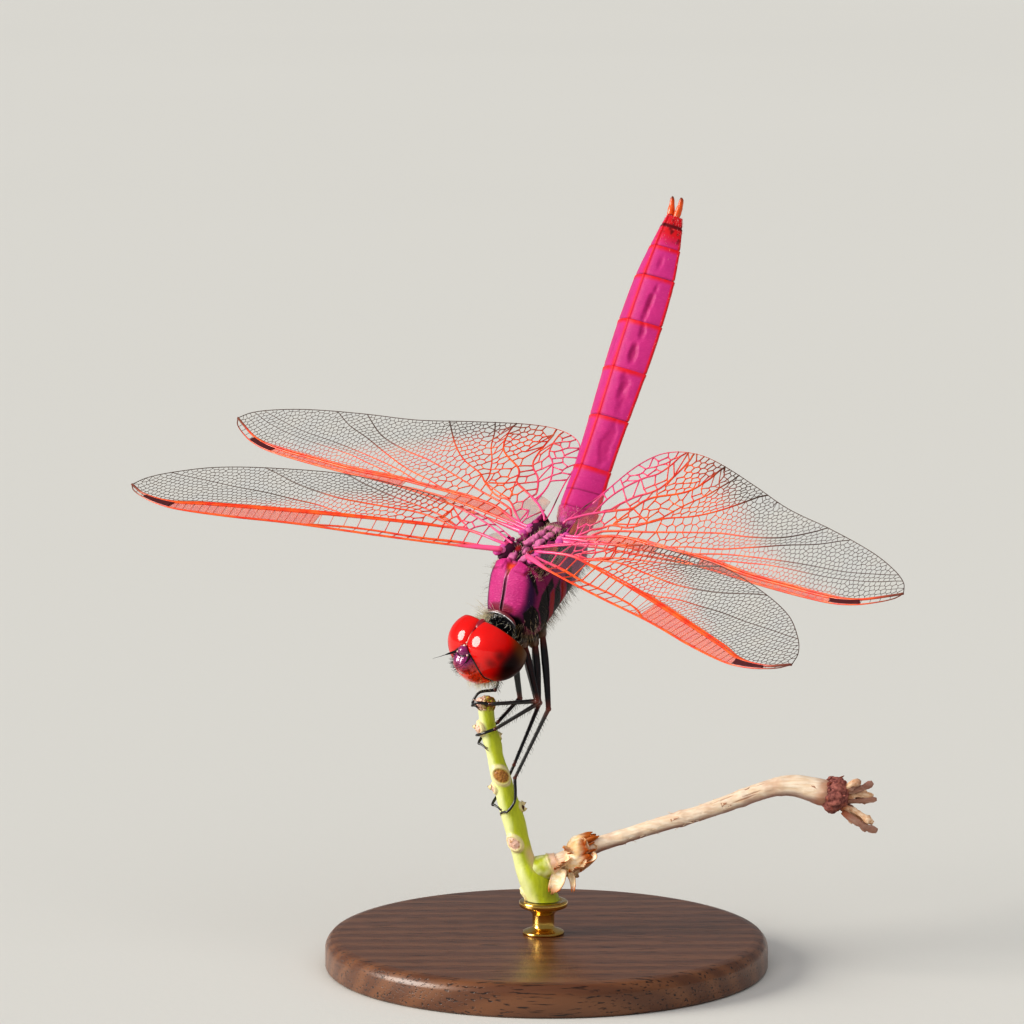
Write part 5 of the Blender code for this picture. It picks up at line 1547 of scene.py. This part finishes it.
def net_seeds(wing, rng):
    """Seeds of the wing's cells, one row after another between each two lengthwise veins, with their strips."""
    length = wing["length"]
    largest = bpy.context.scene.dragonfly_sizes.cell_size / MM
    u_table = np.linspace(0.0, 1.0, 1201)
    lines = vein_lines(wing, u_table)
    at = lambda k, u: float(np.interp(u, u_table, lines[k]))
    seeds, strips = [], []
    for k in range(len(lines) - 1):
        u = 0.006
        while u < 0.995:
            top, bottom, lead, trail = at(k, u), at(k + 1, u), at(0, u), at(len(lines) - 1, u)
            gap = top - bottom
            if gap < (0.13 if k < 2 else 0.22):
                u += 0.004
                continue
            rear = (lead - (top + bottom) / 2) / max(0.1, lead - trail)
            cell = largest * (1.0 - 0.61 * float(ease(0.06, 0.62, u + 0.22 * rear)))
            count = 1 if k < 2 else max(1, round(gap / (cell * 1.02)))
            step = cell * (1.12 if count == 1 else 0.98)
            if k < 2:
                step = 1.05 if u < 0.45 else 0.62
            for j in range(count):
                shift = 0.5 * step * (j % 2) if count > 1 else 0.0
                x = u * length + shift + 0.10 * step * rng.standard_normal()
                y = top - gap * (j + 0.5 + (0.08 * rng.standard_normal() if count > 1 else 0)) / count
                place = x / length
                if 0.002 < place < 0.998 and at(k + 1, place) + 0.03 < y < at(k, place) - 0.03:
                    seeds.append((x, y))
                    strips.append(k)
            u += step / length
    # Seeds mirrored across the edge close the outer cells. The list grows as it is read, so a mirrored
    # seed is mirrored back, which the net takes as one point, until there are MOST_SEEDS
    rim = np.concatenate([np.column_stack([u_table * length, line]) for line in (lines[0], lines[-1])])
    rim[len(u_table):] = rim[len(u_table):][::-1]
    for x, y in seeds:
        away = np.hypot(rim[:, 0] - x, rim[:, 1] - y)
        best = int(np.argmin(away))
        if away[best] < 1.1:
            seeds.append((2 * rim[best, 0] - x, 2 * rim[best, 1] - y))
        if len(seeds) > MOST_SEEDS:
            break
    for x in np.arange(-1.0, length + 1.5, 0.8):
        u = min(1.0, max(0.0, x / length))
        seeds += [(x, at(0, u) + 1.6), (x, at(len(lines) - 1, u) - 1.6)]
    seeds += [(-1.2, y) for y in np.arange(-3.0, 2.0, 0.6)] + [(length + 1.2, y) for y in (-1.0, 0.0, 1.0)]
    return seeds, strips + [-1] * (len(seeds) - len(strips)), at, len(lines)


def middle_of(corners):
    """The point as far from each of a triangle's corners, which stays near the triangle."""
    (ax, ay), (bx, by), (cx, cy) = corners
    d = 2 * (ax * (by - cy) + bx * (cy - ay) + cx * (ay - by))
    d = d if abs(d) > 1e-9 else 1e-9
    a2, b2, c2 = ax * ax + ay * ay, bx * bx + by * by, cx * cx + cy * cy
    x = (a2 * (by - cy) + b2 * (cy - ay) + c2 * (ay - by)) / d
    y = (a2 * (cx - bx) + b2 * (ax - cx) + c2 * (bx - ax)) / d
    mx = (ax + bx + cx) / 3
    return min(max(x, mx - 0.5), mx + 0.5), y


def net_cells(wing, rng):
    """Cross veins between the lengthwise veins, as pairs of (along, across, height) points.

    Each cell grows from a seed; a cross vein stands wherever two seeds of one strip are neighbours."""
    seeds, strips, at, count = net_seeds(wing, rng)
    verts, _, faces, origin, _, _ = delaunay_2d_cdt([Vector(s) for s in seeds], [], [], 0, 1e-5)
    strip = [strips[o[0]] if o else -1 for o in origin]
    points, touching = [], {}
    for number, face in enumerate(faces):
        x, y = middle_of([verts[i] for i in face[:3]])
        u = min(max(x / wing["length"], 0.002), 0.998)
        here = [at(k, u) for k in range(count)]
        kinds = sorted({strip[i] for i in face[:3]})
        y = min(max(y, here[-1]), here[0])
        # Corners between two strips lie on the vein between them, and those at the edge on the edge
        if kinds[0] == -1 and len(kinds) > 1:
            y = here[0] if abs(y - here[0]) < abs(y - here[-1]) else here[-1]
        elif len(kinds) > 1:
            y = min((here[k] for k in range(kinds[0] + 1, kinds[-1] + 1)), key=lambda v: abs(v - y))
        elif kinds[0] >= 0:
            y = min(max(y, here[kinds[0] + 1]), here[kinds[0]])
        height = float(np.interp(-y, -np.array(here), line_heights(wing, u, here)))
        points.append((u * wing["length"], y, height))
        for a, b in zip(face, face[1:] + face[:1]):
            touching.setdefault((min(a, b), max(a, b)), []).append(number)
    found = []
    for (a, b), pair in touching.items():
        if len(pair) == 2 and strip[a] == strip[b] >= 0:
            start, end = np.array(points[pair[0]]), np.array(points[pair[1]])
            if 0.06 < np.linalg.norm(end - start) < 2.6:
                found.append((start, end))
    return np.array(found)


def vein_colours(wing, points):
    """How far each point of the net has turned from red to brown, and how pink and dark it is."""
    u = points[..., 0] / wing["length"]
    lead, trail = smooth_between(wing["leading"], u), smooth_between(wing["trailing"], u)
    rear = (lead - points[..., 1]) / np.maximum(0.2, lead - trail)
    drift = 0.06 * grain(points, 1.5)
    red_to = 0.80 - 0.62 * rear if wing is FORE_WING else 0.84 - 0.66 * rear
    return {"far": ease(-0.10, 0.16, u - red_to + drift) * ease(0.02, 0.14, rear + 0.35 * ease(0.86, 0.97, u)),
            "pink": np.maximum(ease(0.13, 0.02, u), 0.75 * ease(0.19, 0.09, u) * ease(0.25, 0.6, rear))}


def wing_unwrap(points, length):
    """Places on the unwrap for places on a wing."""
    along, across = points[..., 0], points[..., 1] + 4
    return np.stack([0.02 + 0.96 * along / (length + 2), 0.5 + 0.96 * across / (length + 2)], -1)


def build_wing_veins(name, wing, matrix, mirror):
    """The front and hind edges of one wing, its lengthwise veins, its triangle and the net of cross veins."""
    length = wing["length"]
    thickness = bpy.context.scene.dragonfly_sizes.vein_thickness
    veins = Shape()

    def tube(paths, radii, sides, **values):
        tones = vein_colours(wing, paths)
        tones.update(values)
        add_tubes(veins, carried(paths * mirror, matrix), radii * thickness, sides, turned((0, 0, 1), matrix),
                  wing_unwrap(paths[:, paths.shape[1] // 2], length), **tones)

    hind_edge = len(wing["veins"]) + 1
    for k in range(hind_edge + 1):
        full, table = (0, ((0.0,), (1.0,))) if k in (0, hind_edge) else wing["veins"][k - 1][1:]
        u = np.linspace(table[0][0], table[-1][0], 150)
        lines, heights = folded_lines(wing, u)
        # A vein that starts at the root is drawn in to the body
        root = ease(0.03, 0.0, u) * (table[0][0] == 0.0)
        path = stacked(u * length - (0.42 if k < 3 else 0.75) * root, lines[k] + (0.0 if k < 3 else 0.55) * root,
                       heights[k])
        tones = {}
        if k == 0:
            radii = 0.085 + 0.13 * ease(0.13, 0.0, u) * ease(0.0, 0.012, u + 0.004) - 0.045 * ease(0.7, 1.0, u)
            tones["pink"] = ease(0.13, 0.05, u) * 0.9
        elif k == hind_edge:
            radii = 0.030 + 0.02 * ease(0.2, 0.0, u)
        else:
            shrink = (0.30 if k == 2 else 0.50) * ease(0.40, 0.85, u)
            radii = full * (1.0 - shrink) * (1 + 0.45 * ease(0.34, 0.06, u))
        if k == 2:
            radii = radii * (0.62 + 0.38 * ease(0.28, 0.52, u))
        if k in (0, 2):
            tones["far"] = 0.85 * ease(0.90, 0.99, u)
        tube(path[None], radii, 9, **tones)
        if k == 2:
            # The second radial branch runs close behind the first
            path[:, 1] -= 0.19 * ease(0.16, 0.24, u) * ease(0.92, 0.8, u) + 0.02
            keep = (u > 0.17) & (u < 0.9)
            tube(path[keep][None], radii[keep] * 0.75, 8, far=0.5 * ease(0.75, 0.9, u[keep]))
    corners = [np.array((a * length, b, 0.0)) for a, b in wing["triangle"]]
    for a, b in zip(corners, corners[1:] + corners[:1]):
        path = a + (b - a) * np.linspace(0, 1, 6)[:, None]
        path[:, 2:] = on_fold(path[:, 1:2], *folded_lines(wing, path[:, 0] / length))
        tube(path[None], 0.055, 8)
    pairs = net_cells(wing, np.random.default_rng(sum(map(ord, name))))
    paths = pairs[:, :1] + (pairs[:, 1:] - pairs[:, :1]) * np.array((0.0, 0.35, 0.65, 1.0))[None, :, None]
    thin = 0.056 - 0.037 * ease(0.06, 0.55, paths[..., 0] / length)
    tube(paths, thin * np.array((1.25, 0.95, 0.95, 1.25)), 6)
    veins.piece(name + "_veins", wing_vein(chosen_colours()), "wing_membrane", (name,))


def build_wing_film(name, wing, matrix, mirror):
    """The clear film of one wing, its dark cell near the tip, and its stained film."""
    length = wing["length"]

    def sheet(shape, u, y, z, thickness, ahead=0.0, **more):
        add_sheet(shape, stacked(u[:, None] * length + ahead, y, z) * mirror, thickness, matrix=matrix, **more)

    def across(rows, first, last, part):
        return rows[first][:, None] + (rows[last] - rows[first])[:, None] * part

    film = Shape()
    u = np.linspace(0.001, 0.998, 140)
    lines, heights = folded_lines(wing, u)
    y = across(lines, 0, -1, np.linspace(0, 1, 36))
    flat = wing_unwrap(stacked(u[:, None] * length, y), length).reshape(-1, 2)
    sheet(film, u, y, on_fold(y, lines, heights), 0.018, uv=np.concatenate([flat, flat]))
    # The clear film's blue-grey patches are painted reflections
    film.piece(name + "_film", shared("wing_membrane_film", membrane_film, 0.04, "#C8C0B0", "#9AA8B8", 0.12, 2.5),
               "wing_membrane")

    stigma = Shape()
    u, part = np.linspace(*wing["stigma"], 30), np.linspace(0, 1, 10)
    lines, heights = folded_lines(wing, u)
    sheet(stigma, u, across(lines, 0, 2, 0.85 * part), across(heights, 0, 2, 0.85 * part), 0.13,
          0.35 * part * (0.5 - part))
    stigma.piece(name + "_stigma", hard_chitin("stigma_chitin", "#4A1014", rough=0.35, lift=0.02),
                 "wing_membrane")

    # Beyond the nodus the film between the front veins is stained orange, on the hind wing at the root too
    band = Shape()
    part = np.linspace(0, 1, 8)
    spans = [(0, 0.20, wing["veins"][0][2][-1][0] - 0.02, wing["stigma"][0])] + [(1, 0.0, 0.04, 0.27)] * (
        wing is HIND_WING)
    for first, short, start, end in spans:
        u = np.linspace(start, end, 60)
        lines, heights = folded_lines(wing, u)
        y = across(lines, first, 2, part) - short * part
        sheet(band, u, y, across(heights, first, 2, part) - 0.02, 0.02)
    band.piece(name + "_front_tint", shared("orange_membrane_film", membrane_film, 0.42, "#F0602A", "#E8401C"),
               "wing_membrane")

    stain = Shape()
    end, reach = wing["stain"]
    u = np.linspace(0.002, end, 40)
    lines, heights = folded_lines(wing, u)
    ragged = 0.3 * grain(stacked(u * 30, 0.0, 0.0), 0.8)
    low = np.maximum(lines[-1] + 0.05, reach * np.sqrt(np.clip(1 - (u / end) ** 2, 0.02, 1)) + ragged)
    top = lines[2] - 0.05
    y = across((top, np.minimum(low, top - 0.1)), 0, 1, np.linspace(0, 1, 40))
    sheet(stain, u, y, on_fold(y, lines, heights) - 0.035, 0.02)
    stain.piece(name + "_stain", shared("amber_membrane_film", membrane_film, 0.20, "#D86410", "#8A3408"),
                "wing_membrane")


def build_wing(name):
    """One wing: red tubular veins, a fine net of cross veins, clear film, dark cell and stained film."""
    wing, hinge, side, sweep, dihedral, pitch = WINGS[name]
    matrix = INSECT @ wing_frame(hinge, side, sweep, dihedral, pitch)
    mirror = np.array((1.0, -side, 1.0))
    build_wing_veins(name, wing, matrix, mirror)
    build_wing_film(name, wing, matrix, mirror)


# ---- Legs ----


def stem_middle(height):
    """The stem's middle at a height, along X."""
    return float(smooth_between([(z, x) for z, x, _ in STEM], np.array(height)))


def foot_path(ankle, foot, toe):
    """Points of a foot that bends round the stem, from the ankle to the claws."""
    path = [carried(p, INSECT) for p in (ankle, foot, toe)]
    (before_x, before_y, before_z), (x, y, z) = path[1:]
    x, before_x = x - stem_middle(z), before_x - stem_middle(before_z)
    angle, before, away = math.atan2(y, x), math.atan2(before_y, before_x), math.hypot(x, y)
    way = 1 if (angle - before + math.pi) % (2 * math.pi) - math.pi > 0 else -1
    slope = np.clip(z - before_z, -0.4, 0.4)
    for step in (1, 2, 3):
        turn, height = angle + way * 0.30 * step, z + 0.25 * slope * step
        skin = on_stem(min(height, 19.2), turn)
        reach = math.hypot(skin[0] - stem_middle(height), skin[1]) + 0.07
        radius = away + (reach - away) * min(1.0, step / 2)
        path.append((stem_middle(height) + radius * math.cos(turn), radius * math.sin(turn), height))
    return path


def build_leg(name):
    """One black leg: thigh, shin and foot with claws, and its bristles."""
    hip, knee, ankle, foot, toe = [np.array(p) for p in LEGS[name]]
    rng = np.random.default_rng(sum(map(ord, name)))
    up = unit(np.cross(knee - hip, ankle - knee))
    leg, bristles = Shape(), Shape()

    def limb(points, wide, sides, *brown):
        path = through(points, np.linspace(0, 1, 36))
        radii = np.interp(np.linspace(0, 1, 36), np.linspace(0, 1, len(wide)), wide)
        rings = rings_along(path, radii, sides, up)
        ribs = 0.10 * np.cos(4 * turns(sides)) * radii[:, None]
        add_body(leg, rings + outward(rings) * ribs[..., None], INSECT, brown=np.concatenate(brown)[:, None])
        return path

    thigh = limb((hip - (0, 0, -0.15), hip * 0.5 + knee * 0.5 + up * 0.04, knee),
                 (0.22, 0.27, 0.29, 0.27, 0.24, 0.22, 0.19), 20,
                 np.linspace(0.9, 0.0, 8), np.zeros(22), np.linspace(0, 0.8, 6))
    shin = limb((knee, knee * 0.5 + ankle * 0.5, ankle), (0.17, 0.15, 0.14, 0.13, 0.13, 0.12), 18,
                np.linspace(0.8, 0.0, 6), np.zeros(26), np.linspace(0, 0.6, 4))
    add_ball(leg, knee, (0.21, 0.21, 0.21), INSECT, 16, 20, brown=0.9)
    add_ball(leg, ankle, (0.15, 0.15, 0.15), INSECT, 12, 16, brown=0.7)
    smooth = through(foot_path(ankle, foot, toe), np.linspace(0, 1, 60))
    radii = np.interp(np.linspace(0, 1, 60), (0, 0.18, 0.2, 0.38, 0.40, 0.60, 0.62, 1.0),
                      (0.12, 0.11, 0.095, 0.105, 0.085, 0.095, 0.08, 0.065))
    add_tubes(leg, smooth[None], radii, 14, turned(up, INSECT) + 0.01)
    tip, ahead = smooth[-1], unit(smooth[-1] - smooth[-4])
    inward = unit(np.array([stem_middle(tip[2]), 0.0, tip[2]]) - tip)
    t = np.linspace(0, 1, 10)[:, None]
    for spread in (0.45, -0.45):
        claw = tip - 0.03 * ahead + 0.30 * (t * (ahead + (0, 0, spread)) + t * t * 0.55 * inward)
        add_tubes(leg, claw[None], np.linspace(0.045, 0.008, 10), 8, inward + 0.02, brown=0.5)
    chitin = shared("leg_chitin", hard_chitin, "#0B0A0D", [("brown", "#6A2A18")], 0.28, 0.5, 0.10, 0.008)
    leg.piece(name + "_chitin", chitin, "black_cuticle", [name + part for part in ("_thigh", "_shin", "_foot")])

    def row(path, side, number, low, high, lean, first=0.10, stout=1.2):
        t = np.linspace(first, 0.94, number) + 0.01 * rng.standard_normal(number)
        place = through(path, t)
        ahead = unit(path[-1] - path[0])
        aims = unit(side + lean * ahead) + 0.08 * rng.standard_normal((number, 3))
        lengths = rng.uniform(low, high, number) * (1 - 0.25 * t)
        patch = stacked(rng.uniform(0.05, 0.9), 0.02 + 0.9 * t)
        add_hairs(bristles, carried(place + 0.08 * side, INSECT), turned(aims, INSECT), lengths,
                  hair_radius() * stout, patch, 0.12 * turned(ahead, INSECT), rng)

    longest = 0.48 if "hind" in name else 0.62
    flat = unit(np.cross(unit(ankle - knee), up))
    for side in (unit(up + 0.4 * flat), unit(-up + 0.4 * flat)):
        row(shin, side, 17, longest * 0.8, longest, 0.75, stout=1.8)
    row(shin, -flat, 10, 0.18, 0.3, 0.7)
    flat = unit(np.cross(unit(knee - hip), up))
    for side in (unit(up * 0.6 - flat), unit(-up * 0.6 - flat)):
        row(thigh, side, 20, 0.2, 0.34, 0.5, 0.15)
    row(thigh, flat, 16, 0.12, 0.24, 0.6, 0.1)
    bristles.piece(name + "_bristles", shared("black_leg_bristle", hair_keratin, "#0D0A0A", "#3A2620"),
                   "black_cuticle")


# ---- Stage ----


def build_stage():
    """A pale floor, soft studio light from the left and front, and the camera."""
    mesh = bpy.data.meshes.new("studio_floor")
    half = 6.0
    mesh.from_pydata([(-half, -half, 0), (half, -half, 0), (half, half, 0), (-half, half, 0)], [], [(0, 1, 2, 3)])
    floor = bpy.data.objects.new("studio_floor", mesh)
    bpy.context.collection.objects.link(floor)
    mesh.materials.append(studio_card())

    world = bpy.data.worlds.new("soft_room")
    world.use_nodes = True
    world.node_tree.nodes["Background"].inputs[0].default_value = linear("#E9EDF2")
    world.node_tree.nodes["Background"].inputs[1].default_value = 0.27
    bpy.context.scene.world = world

    lamp = bpy.data.lights.new("softbox_key", "SUN")
    lamp.energy, lamp.angle, lamp.color = 3.3, math.radians(34.0), (1.0, 0.965, 0.90)
    key = bpy.data.objects.new("softbox_key", lamp)
    key.rotation_euler = Vector((-0.905, -0.18, 0.375)).to_track_quat("Z", "Y").to_euler()
    bpy.context.collection.objects.link(key)
    lamp = bpy.data.lights.new("overhead_fill", "SUN")
    lamp.energy, lamp.angle, lamp.color = 1.25, math.radians(80.0), (0.97, 0.98, 1.0)
    fill = bpy.data.objects.new("overhead_fill", lamp)
    fill.rotation_euler = Vector((0.10, -0.55, 0.83)).to_track_quat("Z", "Y").to_euler()
    fill.visible_glossy = False
    bpy.context.collection.objects.link(fill)

    sizes = bpy.context.scene.dragonfly_sizes
    data = bpy.data.cameras.new("camera")
    data.lens, data.sensor_width, data.clip_start, data.clip_end = sizes.camera_lens, 36.0, 0.01, 30.0
    camera = bpy.data.objects.new("camera", data)
    tilt = math.radians(8.0)
    aim = Vector((-2.5, -0.144, 33.2)) * MM
    camera.location = aim + Vector((0.0, -math.cos(tilt), math.sin(tilt))) * 0.350
    camera.rotation_euler = (math.radians(90.0) - tilt, 0.0, 0.0)
    bpy.context.collection.objects.link(camera)
    bpy.context.scene.camera = camera
    bpy.context.scene.view_settings.view_transform = "Standard"
    bpy.context.scene.view_settings.look = "Medium High Contrast"


# ---- Add-on ----


def colour_property(name, description, hex_colour):
    return FloatVectorProperty(name=name, description=description, subtype="COLOR", size=4, min=0.0, max=1.0,
                               default=linear(hex_colour))


class DragonflySizes(bpy.types.PropertyGroup):
    """Sizes a user may change"""
    hair_thickness: FloatProperty(
        name="Hair radius",
        description="Radius of a body hair at its root; real hairs are thinner, but would not show",
        default=0.011 * MM, min=0.0, unit="LENGTH", subtype="DISTANCE", precision=6)
    vein_thickness: FloatProperty(
        name="Vein thickness", description="Thickness of all wing veins against the real ones",
        default=1.0, min=0.2, max=2.0, subtype="FACTOR")
    cell_size: FloatProperty(
        name="Wing cell", description="Width of the largest wing cells, near the root",
        default=0.98 * MM, min=0.0003, unit="LENGTH", subtype="DISTANCE", precision=5)
    camera_lens: FloatProperty(
        name="Camera lens", description="Focal length of the studio camera, in millimetres", default=172.3,
        min=20.0)


class DragonflyColours(bpy.types.PropertyGroup):
    """Colours a user may change"""
    pink: colour_property("Bloom pink", "Waxy pink of the thorax and abdomen", "#BE2C78")
    eye_red: colour_property("Eye red", "Upper part of the compound eyes", "#CC0804")
    face_orange: colour_property("Face red", "Lower part of the face", "#F03A08")
    violet: colour_property("Frons violet", "Metallic top of the frons", "#82206A")
    vein_red: colour_property("Vein red", "Veins of the inner half of the wings", "#DC300C")
    stem_green: colour_property("Stem green", "Sunlit side of the cut stem", "#C4CC2A")


class DRAGONFLY_OT_stage(bpy.types.Operator):
    """Adds the floor, the lights and the camera"""
    bl_idname = "dragonfly.stage"
    bl_label = "Stage"

    def execute(self, context):
        build_stage()
        return {"FINISHED"}


class DRAGONFLY_OT_stand(bpy.types.Operator):
    """Adds the walnut base and the brass rod"""
    bl_idname = "dragonfly.stand"
    bl_label = "Stand"

    def execute(self, context):
        build_stand()
        return {"FINISHED"}


class DRAGONFLY_OT_perch(bpy.types.Operator):
    """Adds the cut stem and its dead twig"""
    bl_idname = "dragonfly.perch"
    bl_label = "Stem and twig"

    def execute(self, context):
        build_stem()
        build_twig()
        return {"FINISHED"}


class DRAGONFLY_OT_thorax(bpy.types.Operator):
    """Adds the thorax, the wing root knobs, the collar and their hair"""
    bl_idname = "dragonfly.thorax"
    bl_label = "Thorax"

    def execute(self, context):
        build_thorax()
        build_collar()
        return {"FINISHED"}


class DRAGONFLY_OT_head(bpy.types.Operator):
    """Adds the eyes, the face, the antennae and their hair"""
    bl_idname = "dragonfly.head"
    bl_label = "Head"

    def execute(self, context):
        build_eyes()
        build_face()
        return {"FINISHED"}


class DRAGONFLY_OT_abdomen(bpy.types.Operator):
    """Adds the abdomen and its claspers"""
    bl_idname = "dragonfly.abdomen"
    bl_label = "Abdomen"

    def execute(self, context):
        build_abdomen()
        return {"FINISHED"}


class DRAGONFLY_OT_wings(bpy.types.Operator):
    """Adds the four wings"""
    bl_idname = "dragonfly.wings"
    bl_label = "Wings"

    def execute(self, context):
        for name in WINGS:
            build_wing(name)
        return {"FINISHED"}


class DRAGONFLY_OT_legs(bpy.types.Operator):
    """Adds the six legs and their bristles"""
    bl_idname = "dragonfly.legs"
    bl_label = "Legs"

    def execute(self, context):
        for name in LEGS:
            build_leg(name)
        return {"FINISHED"}


OPERATORS = (
    DRAGONFLY_OT_stage, DRAGONFLY_OT_stand, DRAGONFLY_OT_perch, DRAGONFLY_OT_thorax, DRAGONFLY_OT_head,
    DRAGONFLY_OT_abdomen, DRAGONFLY_OT_wings, DRAGONFLY_OT_legs,
)


class DRAGONFLY_PT_panel(bpy.types.Panel):
    """Lists the model's pieces and its settings"""
    bl_idname = "DRAGONFLY_PT_panel"
    bl_label = "Dragonfly"
    bl_space_type = "VIEW_3D"
    bl_region_type = "UI"
    bl_category = "Dragonfly"

    def draw(self, context):
        for operator in OPERATORS:
            self.layout.operator(operator.bl_idname)
        for group in (context.scene.dragonfly_sizes, context.scene.dragonfly_colours):
            for key in group.__annotations__:
                self.layout.prop(group, key)


CLASSES = (DragonflySizes, DragonflyColours) + OPERATORS + (DRAGONFLY_PT_panel,)


def register():
    for cls in CLASSES:
        bpy.utils.register_class(cls)
    bpy.types.Scene.dragonfly_sizes = PointerProperty(type=DragonflySizes)
    bpy.types.Scene.dragonfly_colours = PointerProperty(type=DragonflyColours)


def unregister():
    del bpy.types.Scene.dragonfly_sizes
    del bpy.types.Scene.dragonfly_colours
    for cls in reversed(CLASSES):
        bpy.utils.unregister_class(cls)


def main():
    register()
    for operator in OPERATORS:
        getattr(bpy.ops.dragonfly, operator.bl_idname.split(".")[1])()


if __name__ == "__main__":
    main()
